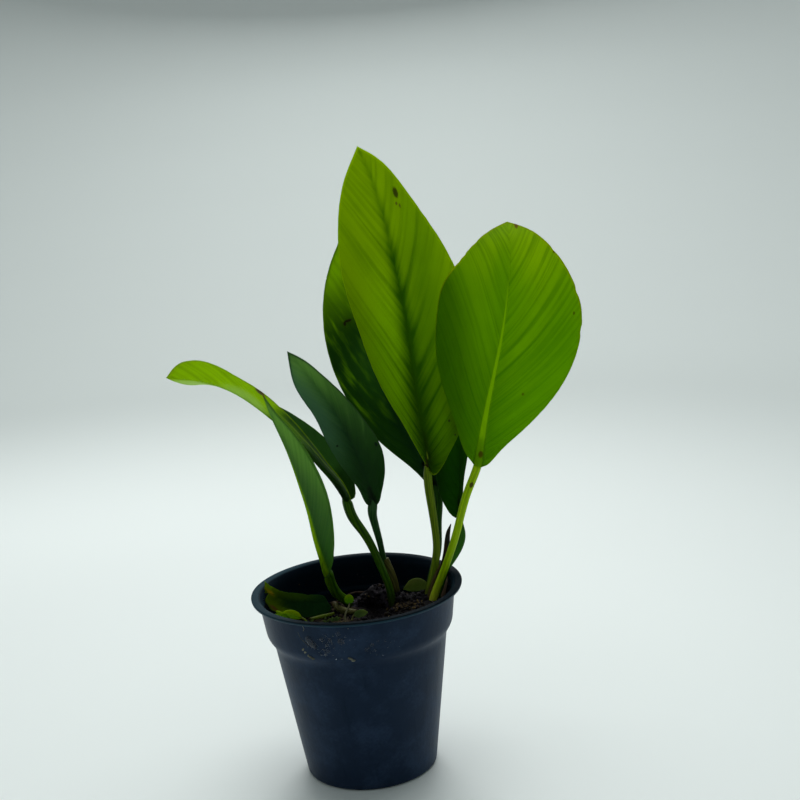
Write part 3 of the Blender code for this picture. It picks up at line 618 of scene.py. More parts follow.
# A spot's place, half-sizes, colour, softness of its edge and strength
Spot = namedtuple("Spot", "along across long wide colour soft strength", defaults=(0.25, 1.0))
SPOT_WOBBLE = 1.2  # how much the grain frays a spot's edge


def marked(s, layers, spots, along, across, grain, tones):
    """The layers' colours with the spots laid over them; tones gives a spot's colour in each layer."""
    for spot in spots:
        x = s.math("DIVIDE", s.sub(along, spot.along), spot.long)
        y = s.math("DIVIDE", s.sub(across, spot.across), spot.wide)
        far = s.add(s.math("SQRT", s.add(s.mul(x, x), s.mul(y, y))), s.swing(grain, SPOT_WOBBLE))
        mark = s.smooth(far, 1 + spot.soft, 1 - spot.soft, 0.0, spot.strength)
        layers = s.lay(mark, layers, tones(spot.colour))
    return layers


STRANDS = 5.0  # fine strands beside each vein
MOTTLE = 0.25  # how much a blade's broad clouds darken it
KEEL_TIP = 0.0907  # a pale midrib's radius at its tip, as a share of that at its foot


def leaf_surface(name, tip, base, deep, back_tip, back_base, turn=(0.1, 0.9), rib=(6.0, 0.7), keel=None, veins=0.45,
                 fine=0.2, crease=0.3, streaks=0.0, through=0.55, roughness=0.42, margin=None, shine=0.1,
                 tints=(), spots=()):
    """A leaf's skin. Light comes through it in tip and base colours, darker at the ribs in deep;
    back_tip and back_base are what its face sends back. keel is a pale midrib's colour and radius.
    tints lie under the ribs, spots over them; some of them are painted shade and some are painted sheen."""
    s = Surface(name)

    def tones(colour):
        return passed(srgb(*colour), through), colour

    along, across, rim = s.attribute("place")
    vein, under, share = s.attribute("make")
    millimetres = s.combine(along, across)
    out = s.math("ABSOLUTE", across)
    spread = s.math("DIVIDE", out, s.add(out, rim, 0.01))
    side = s.mul(s.math("SIGN", across), 7.0)
    drift = s.mul(out, 0.03)
    cloud = s.noise(millimetres, 0.09, 4.0, 0.6)
    grain = s.noise(millimetres, 1.7, 4.0, 0.7)
    strands = s.noise(s.combine(s.mul(vein, STRANDS), drift, side), 1.0, 3.5, 0.6)
    force = s.noise(s.combine(s.mul(vein, 0.8), drift, side), 1.0, 2.0)
    near = s.math("ABSOLUTE", s.sub(s.math("FRACT", s.add(vein, 0.5)), 0.5))
    near = s.add(near, s.swing(grain, 0.05))
    line = s.mul(
        s.smooth(near, s.smooth(spread, 0.0, 1.0, 0.24, 0.11), 0.0), s.smooth(force, 0.35, 0.62, 0.2, 1.0),
        s.smooth(spread, 0.2, 0.95, 1.0, 0.15), s.smooth(share, 0.95, 0.3, 0.35, 1.0),
    )
    rib_width = s.smooth(share, 0.0, 1.0, rib[0], rib[0] * 0.2)
    dark = s.add(
        s.mul(s.hump(out, rib_width), s.smooth(share, 0.3, 1.0, rib[1], rib[1] * 0.25)),
        s.mul(s.hump(out, 0.8), s.smooth(share, 0.85, 0.15, 0.0, crease)),
        s.mul(line, veins), s.smooth(strands, 0.42, 0.64, 0.0, fine), s.swing(cloud, MOTTLE), clamp=True,
    )
    # From base to tip colours: the darker base is partly the leaf's own green and partly painted shade where leaves
    # and the pot crowd its foot, and the brighter tip is partly painted light.
    up = s.smooth(share, *turn)
    glow_tip, glow_base, glow_deep = (tones(colour)[0] for colour in (tip, base, deep))
    layers = s.blend(up, glow_base, glow_tip), s.blend(up, back_base, back_tip)
    if streaks:
        bands = s.noise(s.combine(s.mul(vein, 1.4), s.mul(out, 0.14), side), 1.0, 3.0, 0.6)
        lit = s.mul(s.smooth(bands, 0.48, 0.7, 0.0, streaks), s.smooth(share, 0.2, 0.5))
        layers = s.lay(lit, layers, (glow_tip, back_tip))
    glow, face = marked(s, layers, tints, along, across, grain, tones)
    face = s.blend(s.mul(dark, 0.6), face, back_base)
    layers = s.blend(dark, glow, glow_deep), s.blend(s.smooth(grain, 0.3, 0.7, 0.0, 0.25), face, (6, 16, 2))
    if keel:
        colour, radius = keel
        edge = s.sub(s.math("DIVIDE", out, s.mul(s.math("POWER", KEEL_TIP, share), radius)), 1.0)
        layers = s.lay(s.mul(s.smooth(edge, 0.3, -0.3), s.smooth(share, 0.85, 0.55)), layers, tones(colour))
    if margin:
        layers = s.lay(s.smooth(rim, 0.5, 0.1), layers, tones(margin))
    glow, face = marked(s, layers, spots, along, across, grain, tones)
    rough = s.add(s.mul(grain, 0.15), s.mul(under, 0.1), roughness - 0.07)
    normal = s.bump(s.add(s.mul(strands, -0.6), s.mul(grain, 0.5)), 0.00008, 0.8)
    return s.lit_through(s.body(face, rough, normal, shine), glow, normal, through)


STALK_ROUGHNESS = 0.35
STALK_THROUGH = 0.3


def stalk_surface(name, light, dark, foot, spots=(), shine=0.12):
    """A stalk's skin, streaked along its length and browner at its foot."""
    s = Surface(name)
    along, turn, _ = s.attribute("place")
    angle, _, share = s.attribute("make")
    streak = s.noise(s.combine(s.mul(along, 0.03), s.mul(turn, 1.1)), 1.0, 5.0, 0.65)
    grain = s.noise(s.combine(along, turn), 1.6, 4.0, 0.7)
    colour = s.blend(s.smooth(streak, 0.35, 0.68), dark, light)
    colour = s.blend(s.smooth(share, -0.72, -1.0), colour, foot)
    colour = s.blend(s.smooth(grain, 0.62, 0.8, 0.0, 0.35), colour, foot)
    colour, = marked(s, [colour], spots, along, angle, grain, lambda spot_colour: [spot_colour])
    normal = s.bump(s.add(streak, s.mul(grain, 0.25)), 0.00025, 0.7)
    rough = s.add(s.mul(streak, 0.2), STALK_ROUGHNESS)
    return s.lit_through(s.body(colour, rough, normal, shine), colour, normal, STALK_THROUGH)


def pot_surface():
    """Dark blue-black moulded plastic, dusty and lightly scuffed, with painted shade inside and on the lip's top, and
    painted light on the lip's outer edge and at its left.
    """
    s = Surface("pot_plastic")
    made = s.node("NewGeometry").outputs
    spot = made["Position"]
    x, y, z = s.node("SeparateXYZ", {0: spot}).outputs
    level = s.scaled(spot, 1, 1, 0)
    inside = s.smooth(s.vector("DOT_PRODUCT", level, made["True Normal"], out="Value"), 0.0, -0.01)
    flat = s.smooth(z, 0.0794, 0.0799)
    lip = s.mul(s.smooth(s.length(level), 0.0435, 0.0442), s.smooth(z, 0.0784, 0.0788))
    broad = s.noise(spot, 60.0, 4.0, 0.6)
    grain = s.noise(spot, 900.0, 3.0, 0.7)
    streak = s.noise(s.scaled(spot, 1.0, 1.0, 0.12), 260.0, 3.0, 0.6)
    dusty = s.smooth(s.add(broad, s.mul(grain, 0.35)), 0.58, 0.95)
    colour = s.blend(s.mul(dusty, 0.45), (27, 38, 57), (51, 68, 94))
    colour = s.blend(s.smooth(streak, 0.55, 0.8, 0.0, 0.35), colour, (9, 20, 36))
    # Painted shade: the inner wall darkened to near black.
    colour = s.blend(inside, colour, (1, 8, 18))
    # Painted highlight: the lip's rolled outer edge painted paler.
    colour = s.blend(lip, colour, (34, 56, 68))
    # The lip's top is painted dark as painted shade and paler towards the left as painted light; it is no wear.
    worn = s.blend(s.smooth(s.sub(s.mul(y, 0.12), x), 0.012, 0.038), (3, 10, 14), (31, 52, 60))
    colour = s.blend(flat, colour, worn)
    rough = s.add(s.add(s.mul(broad, 0.22), s.mul(grain, 0.12)), s.add(0.24, s.mul(flat, 0.2)))
    normal = s.bump(streak, 0.0003, 0.35, Normal=s.bump(grain, 0.00012, 0.5))
    return s.finish(s.body(colour, rough, normal, s.smooth(flat, 0.0, 1.0, 0.08, 0.02), {
        "Specular Tint": (0.45, 0.78, 1.0, 1.0), "Sheen Weight": 0.05, "Sheen Roughness": 0.5,
        "Sheen Tint": (0.2, 0.55, 1.0, 1.0),
    }))


def water_surface():
    """Clear water, with a faint unevenness of its film."""
    s = Surface("water_clear")
    film = s.noise(s.position(), 1500.0, 2.0, 0.5)
    rough = s.add(0.01, s.mul(film, 0.04))
    others = {"IOR": 1.33, "Transmission Weight": 1.0}
    return s.finish(s.body((0.72, 0.86, 0.95, 1.0), rough, s.bump(film, 0.00002, 0.3), 0.35, others))


def grain_surface(name, dark, light, specks, scale=700.0, roughness=0.8, left=None):
    """A crumbly, fibrous or barky skin of two colours with paler specks, and another colour at the left."""
    s = Surface(name)
    spot = s.position()
    broad = s.noise(spot, scale * 0.25, 5.0, 0.65)
    grain = s.noise(spot, scale, 5.0, 0.75)
    tint = s.noise(spot, scale * 2.7, 2.0, 0.5)
    if left:
        light = s.blend(s.smooth(s.node("SeparateXYZ", {0: spot}).outputs[0], 0.001, -0.008), light, left)
    colour = s.blend(s.smooth(broad, 0.4, 0.66), dark, light)
    colour = s.blend(s.smooth(tint, 0.62, 0.72, 0.0, 0.8), colour, specks)
    normal = s.bump(s.add(grain, broad), 0.0006, 0.9)
    return s.finish(s.body(colour, s.add(s.mul(grain, 0.2), roughness), normal, 0.1))


WALL_HEIGHTS = (FLOOR, STEP_BOTTOM, COLLAR_BOTTOM, POT_HEIGHT - LIP_DEPTH)
WALL_RADII = (BASE_RADIUS, STEP_RADIUS, COLLAR_BOTTOM_RADIUS, COLLAR_TOP_RADIUS)


def outer_radius(height):
    """The radius of the pot's outer wall at heights."""
    return np.interp(height, WALL_HEIGHTS, WALL_RADII)


def inner_radius(height):
    """The pot's inside radius at heights."""
    ledge = np.interp(height, (STEP_BOTTOM, COLLAR_BOTTOM, LEDGE_BOTTOM, LEDGE_TOP), (0, LEDGE_WIDTH, LEDGE_WIDTH, 0))
    return outer_radius(height) - WALL - ledge


def warp(turns, height):
    """How far the moulded wall strays from round."""
    ring = np.stack([np.cos(turns), np.sin(turns), 0 * turns], -1)
    return wave(ring * 2.2, 3) * 0.12 * np.clip((height - 50) / 30, 0, 1)


def rounded(profile, radii, steps=5):
    """The profile with each corner eased over its radius."""
    made = [profile[0]]
    for before, corner, after, radius in zip(profile, profile[1:], profile[2:], radii):
        corner = np.array(corner, float)
        sides = (np.array(other, float) - corner for other in (before, after))
        start, end = (corner + unit(side) * min(radius, 0.45 * np.linalg.norm(side)) for side in sides)
        for share in np.linspace(0, 1, steps):
            made.append((1 - share) ** 2 * start + 2 * share * (1 - share) * corner + share**2 * end)
    return np.array([*made, profile[-1]], float)


def plain(points, faces, surface=0):
    """A shell with no coordinates of its own."""
    return Shell(points, faces, np.zeros((len(points), 3)), np.zeros((len(points), 3)), surface)


def all_round(count):
    """Equal turns from 0, all the way round."""
    return 2 * math.pi * np.arange(count) / count


POT_SIDES = 192
LONGEST_STRIP = 4.0
CHIP_TURN, CHIP_WIDTH, CHIP_DEPTH = math.radians(191), 0.03, 0.9


def pot_shell():
    """The pot's closed skin, with a worn chip in its lip at the left. Each corner goes with its rounding."""
    lip_bottom = POT_HEIGHT - LIP_DEPTH
    corners = [
        ((0, 0), 0), ((BASE_RADIUS, 0), 1.2), ((STEP_RADIUS, STEP_BOTTOM + 0.6), 2.2),
        ((COLLAR_BOTTOM_RADIUS, COLLAR_BOTTOM + 0.6), 2.2), ((COLLAR_TOP_RADIUS + 0.3, lip_bottom + 0.9), 0.6),
        ((LIP_RADIUS - 0.3, lip_bottom + 1.5), 0.4), ((LIP_RADIUS, POT_HEIGHT), 0.6),
        ((LIP_INNER_RADIUS, POT_HEIGHT), 1.1), ((inner_radius(lip_bottom), lip_bottom), 1.5),
        ((inner_radius(LEDGE_TOP), LEDGE_TOP), 0.3), ((inner_radius(LEDGE_BOTTOM), LEDGE_BOTTOM), 0.3),
        ((inner_radius(COLLAR_BOTTOM), COLLAR_BOTTOM), 1.0), ((inner_radius(STEP_BOTTOM), STEP_BOTTOM), 1.0),
        ((inner_radius(FLOOR), FLOOR), 1.0), ((0, FLOOR), 0),
    ]
    profile = rounded([c for c, _ in corners], [r for _, r in corners[1:-1]])
    steps = np.linalg.norm(np.diff(profile, axis=0), axis=1)
    fine = [profile[0]]
    for a, b, step in zip(profile, profile[1:], steps):
        parts = max(int(step / LONGEST_STRIP), 1)
        fine += [a + (b - a) * i / parts for i in range(1, parts + 1)]
    fine = np.array(fine)[1:-1]
    turns = all_round(POT_SIDES)
    radius = np.repeat(fine[:, :1], POT_SIDES, axis=1)
    height = np.repeat(fine[:, 1:], POT_SIDES, axis=1)
    chip = CHIP_DEPTH * np.exp(-((turns - CHIP_TURN) / CHIP_WIDTH) ** 2)[None, :]
    chip = chip * np.exp(-((height - lip_bottom) / 1.0) ** 2) * (radius > LIP_RADIUS - 1.6)
    radius = np.minimum(radius + warp(turns, height) * (radius > 2) - chip, LIP_RADIUS)
    rings = np.stack([radius * np.cos(turns), radius * np.sin(turns), height], -1)
    return plain(*skin(rings, (0, 0, 0), (0, 0, FLOOR)))


def polar(reach, turn):
    return reach * math.cos(turn), reach * math.sin(turn)


def grit(x, y, z):
    """Smooth noise at one place."""
    return noise.noise(Vector((x, y, z)))


RISE_RIGHT, FALL_BACK = 0.06, 0.10
HEAP_X, HEAP_Y, HEAP_HEIGHT, HEAP_WIDTH = 28, 6, 2.2, 15
HOLLOW_X, HOLLOW_Y, HOLLOW_DEPTH = 7, 7, 4.2
CRUMB_LAYERS = ((3.1, 0.75), (1.4, 0.45), (0.7, 0.2))  # sizes and heights
SOIL_SIDES, SOIL_RINGS = 200, 70


def ground(x, y):
    """The height of the soil without its crumbs: aslant, heaped at the right."""
    level = SOIL_LEVEL + RISE_RIGHT * x - FALL_BACK * y
    heap = HEAP_HEIGHT * math.exp(-((x - HEAP_X) ** 2 + (y - HEAP_Y) ** 2) / HEAP_WIDTH**2)
    return level + heap + 1.1 * grit(x / 7.0, y / 7.0, 3.7)


def crumbly(x, y):
    """The soil's own crumbs on top of its height, and the hollow beside the rootstock."""
    rough = 0.0
    for size, height in CRUMB_LAYERS:
        rough += height * grit(x / size, y / size, size)
    return rough - HOLLOW_DEPTH * math.exp(-((x - HOLLOW_X) / 6.0) ** 2 - ((y - HOLLOW_Y) / 7.5) ** 2)


def soil_top(x, y):
    return ground(x, y) + crumbly(x, y)


def soil_shell():
    """The soil's closed body with a crumbly top."""
    turns = all_round(SOIL_SIDES)
    level_edge = inner_radius(SOIL_LEVEL) - GAP
    edge = inner_radius(np.array([ground(*polar(level_edge, turn)) for turn in turns])) - GAP
    made = []
    for share in np.linspace(0, 1, SOIL_RINGS + 1)[1:]:
        ring = []
        for turn, reach in zip(turns, edge):
            x, y = polar(reach * share, turn)
            ring.append((x, y, ground(x, y) + crumbly(x, y) * min(1.0, 12 * (1 - share))))
        made.append(ring)
    for level in (LEDGE_BOTTOM - 4, STEP_BOTTOM, FLOOR + GAP):
        made.append([(*polar(inner_radius(level) - GAP, turn), level) for turn in turns])
    return plain(*skin(np.array(made), (0, 0, soil_top(0, 0)), (0, 0, FLOOR + GAP)))


RHIZOME_SIDES = 44
RHIZOME_STEP = 0.45


def rhizome_shell():
    """The rootstock: knobbly, ringed by old leaf scars."""
    course = Course(RHIZOME.points)
    distance = np.linspace(0, course.length, int(course.length / RHIZOME_STEP))
    angle = all_round(RHIZOME_SIDES)
    forward = course.direction(distance)
    across = unit(np.cross(forward, [0, 0, 1.0]))
    over = np.cross(across, forward)

    def lump(d, a):
        """How far the bark stands out: leaf scars, lumps, bark and grit."""
        c, s = math.cos(a), math.sin(a)
        lumpy = 0.1 * math.sin(d * 1.9) + 1.0 * grit(d * 0.6, c * 3.0, s)
        return lumpy + 0.75 * grit(d * 1.6, c * 4.0, s * 4.0) + 0.3 * grit(d * 3.9, c * 9.0, s * 9.0)

    base = np.interp(distance, course.stations, RHIZOME.radii)
    radius = base[:, None] + np.array([[lump(d, a) for a in angle] for d in distance])
    rings = course.at(distance)[:, None] + radius[..., None] * (
        np.cos(angle)[None, :, None] * across[:, None] + np.sin(angle)[None, :, None] * over[:, None]
    )
    return plain(*skin(rings, *course.at(np.array([-1.0, course.length + 1.0]))))


def ball(subdivisions):
    """The points and faces of a unit ball."""
    made = bmesh.new()
    bmesh.ops.create_icosphere(made, subdivisions=subdivisions, radius=1.0)
    points = np.array([vertex.co[:] for vertex in made.verts])
    faces = [[vertex.index for vertex in face.verts] for face in made.faces]
    made.free()
    return points, faces


COARSE, MIDDLING, SMOOTH = (ball(n) for n in (1, 2, 3))


def lump_shell(template, centre, sizes, axes, rough, draw, surface=0):
    """A ball stretched along axes and roughened into a crumb, a flake or a drop."""
    points, faces = template
    bumpy = points * (1 + rough * draw.uniform(-1, 1, (len(points), 1)))
    return plain(np.array(centre) + (bumpy * sizes) @ axes, faces, surface)


def any_way(draw):
    """Three axes turned at random."""
    axes = np.linalg.qr(draw.normal(size=(3, 3)))[0]
    return axes * np.sign(np.linalg.det(axes))


SOIL_REACH = 36.3
FIBRE_REACH, FIBRE_LIMIT = 33, 35.5
HEAP_CRUMBS, BARK_CRUMBS, FIBRES, SMALL_DROPS = 260, 190, 80, 60
CRUMB_ROUGHNESS = 0.22
# Crumbs all over the soil: how many, of which ball, and their least and greatest sizes
CRUMBS = ((2300, COARSE, 0.12, 0.42), (330, MIDDLING, 0.45, 1.25))


def crumb_shells(draw):
    """Loose crumbs on the soil and about the rootstock, some of them pale."""
    shells = []

    def put(template, x, y, z, size, pale):
        sizes = size * draw.uniform(0.6, 1.25, 3)
        surface = int(draw.choice(3, p=(0.9 - pale, 0.1 + pale / 2, pale / 2)))
        shells.append(lump_shell(template, (x, y, z), sizes, any_way(draw), CRUMB_ROUGHNESS, draw, surface))

    for count, template, low, high in CRUMBS:
        for _ in range(count):
            size = low + (high - low) * draw.random() ** 2
            turn = draw.uniform(0, 2 * math.pi)
            x, y = polar((SOIL_REACH - size) * math.sqrt(draw.random()), turn)
            put(template, x, y, soil_top(x, y) + 0.3 * size, size, 0.05)
    for _ in range(HEAP_CRUMBS):
        size = draw.uniform(0.2, 0.75)
        x, y = draw.normal(19.0, 3.6), draw.normal(6.0, 3.2)
        put(MIDDLING, x, y, soil_top(x, y) + draw.uniform(0.2, 1.2) * size, size, 0.75)
    course = Course(RHIZOME.points)
    for _ in range(BARK_CRUMBS):
        size = draw.uniform(0.3, 1.0)
        distance = draw.uniform(0.15, 1.0) * course.length
        middle = course.at(np.array([distance]))[0]
        turn = draw.uniform(-0.6, math.pi + 0.6)
        reach = np.interp(distance, course.stations, RHIZOME.radii) + 0.2
        x, y = middle[0] + 0.4 * reach * math.cos(turn), middle[1] + reach * math.cos(turn)
        z = max(middle[2] + reach * math.sin(turn), soil_top(x, y))
        put(MIDDLING, x, y, z, size, 0.03)
    return shells


def fibre_shells(draw):
    """Root hairs and plant fibres that lie on the soil."""
    shells = []
    for _ in range(FIBRES):
        turn, way = draw.uniform(0, 2 * math.pi, 2)
        x, y = polar(FIBRE_REACH * math.sqrt(draw.random()), turn)
        points = []
        for _ in range(4):
            if math.hypot(x, y) > FIBRE_LIMIT:
                break
            points.append((x, y, soil_top(x, y) + draw.uniform(0.1, 0.5)))
            way += draw.uniform(-0.7, 0.7)
            stride = draw.uniform(0.9, 2.6)
            x, y = x + stride * math.cos(way), y + stride * math.sin(way)
        if len(points) > 2:
            radii = np.full(len(points), draw.uniform(0.05, 0.14))
            shells.append(stalk_shell(Stalk(points, radii), sides=5, step=0.7, surface=int(draw.integers(2))))
    return shells


def on_wall(turn, height, radius=outer_radius):
    """A place on the pot's wall, and the directions around it, up it and out of it."""
    turn = math.radians(turn)
    lean = float(radius(height + 0.5) - radius(height - 0.5))
    reach = float(radius(height)) + float(warp(np.array([turn]), height)[0])
    out = unit(np.array([*polar(1, turn), -lean]))
    around = np.array([-math.sin(turn), math.cos(turn), 0])
    return np.array([*polar(reach, turn), height]), np.stack([around, np.cross(out, around), out])


def spun(axes, tilt):
    """The wall's directions, turned about the one out of it."""
    tilt = math.radians(tilt)
    return np.array([[math.cos(tilt), math.sin(tilt), 0], [-math.sin(tilt), math.cos(tilt), 0], [0, 0, 1]]) @ axes


# Drops on the outside wall: turn, height and radius
DROPS = (
    (-108.6, 72.3, 1.0), (-105.9, 73.8, 0.6), (-103.9, 72.0, 0.85), (-101.8, 73.8, 0.5), (-98.8, 74.7, 0.9),
    (-97.6, 71.5, 1.35), (-106.1, 69.7, 0.9), (-102.9, 70.7, 0.5), (-108.4, 67.4, 0.7), (-105.4, 67.0, 0.6),
    (-107.5, 65.6, 0.8), (-110.2, 65.1, 0.5), (-102.2, 68.4, 0.4), (-95.0, 73.3, 0.5), (-111.1, 66.4, 0.4),
    (-84.0, 66.8, 0.6), (-82.2, 67.5, 0.5), (-80.4, 68.7, 0.85), (-78.9, 66.2, 0.6), (-76.8, 70.0, 0.4),
    (-72.8, 69.5, 0.45), (-71.2, 66.6, 0.35), (-81.3, 65.6, 0.4), (-92.4, 71.8, 0.35), (-86.7, 73.2, 0.3),
)
# Pale flakes stuck to the outside wall: turn, height, half-length, half-width and tilt
FLAKES = (
    (-122.4, 66.6, 0.8, 0.45, 50), (-121.2, 65.4, 0.6, 0.5, 20), (-119.6, 64.2, 0.7, 0.25, 60),
    (-118.2, 63.5, 1.2, 0.5, -25), (-116.5, 62.9, 0.8, 0.5, 20), (-93.4, 63.4, 1.3, 0.55, -25),
    (-91.8, 62.5, 0.9, 0.4, 10), (-86.4, 78.1, 1.2, 0.4, 20), (-92.8, 76.9, 0.35, 0.3, 0),
)


def drop_shells(draw):
    """Water drops on the outside wall, the largest one run down aslant."""
    shells = []

    def put(turn, height, radius, stretch, tilt=0):
        place, axes = on_wall(turn, height)
        sizes = (radius * 1.1, radius * stretch * 1.15, 0.08 + 0.28 * radius)
        shells.append(lump_shell(SMOOTH, place, sizes, spun(axes, tilt), 0.0, draw))

    put(-115.9, 70.4, 1.55, 1.9, 32)
    for turn, height, radius in DROPS:
        put(turn, height, radius, 1 + 0.25 * draw.random())
    for _ in range(SMALL_DROPS):
        turn = draw.normal(*((-105, 5.5) if draw.random() < 0.65 else (-77, 5)))
        put(turn, draw.normal(69.0, 3.0), draw.uniform(0.14, 0.32), 1.1)
    return shells


FLAKE_SKIN = 3  # the grey one among crumb_skins
# Earth inside the wall: a range of turns, one of heights, and a number of crumbs
CAKED = ((2, 26, 69, 77.5, 110), (165, 182, 68, 77, 60), (40, 160, 68, 73, 50))
# A hair and a scratch on the outside wall: their courses in turns and heights, and their radii
LINES = (
    (((-118.6, 78.8), (-119.4, 77.2), (-118.9, 76.3), (-119.8, 75.2)), 0.13),
    (((-123.7, 74.3), (-122.9, 72.4), (-120.6, 70.4), (-117.6, 68.6)), 0.1),
)


def debris_shells(draw):
    """Flakes on the outside wall, and earth stuck to the inside one."""
    shells = []
    for turn, height, long, wide, tilt in FLAKES:
        place, axes = on_wall(turn, height)
        shells.append(lump_shell(MIDDLING, place, (long, wide, 0.22), spun(axes, tilt), 0.2, draw, FLAKE_SKIN))
    for low, high, bottom, top, count in CAKED:
        for _ in range(count):
            place, _axes = on_wall(draw.uniform(low, high), draw.uniform(bottom, top), inner_radius)
            sizes = draw.uniform(0.12, 0.4) * draw.uniform(0.6, 1.3, 3)
            shells.append(lump_shell(COARSE, place, sizes, any_way(draw), 0.2, draw, int(draw.integers(2))))
    for course, radius in LINES:
        points = []
        for turn, height in course:
            place, axes = on_wall(turn, height)
            points.append(tuple(place + 0.8 * radius * axes[2]))
        shells.append(stalk_shell(Stalk(points, [radius] * 4), sides=6, step=0.4, surface=FLAKE_SKIN))
    return shells


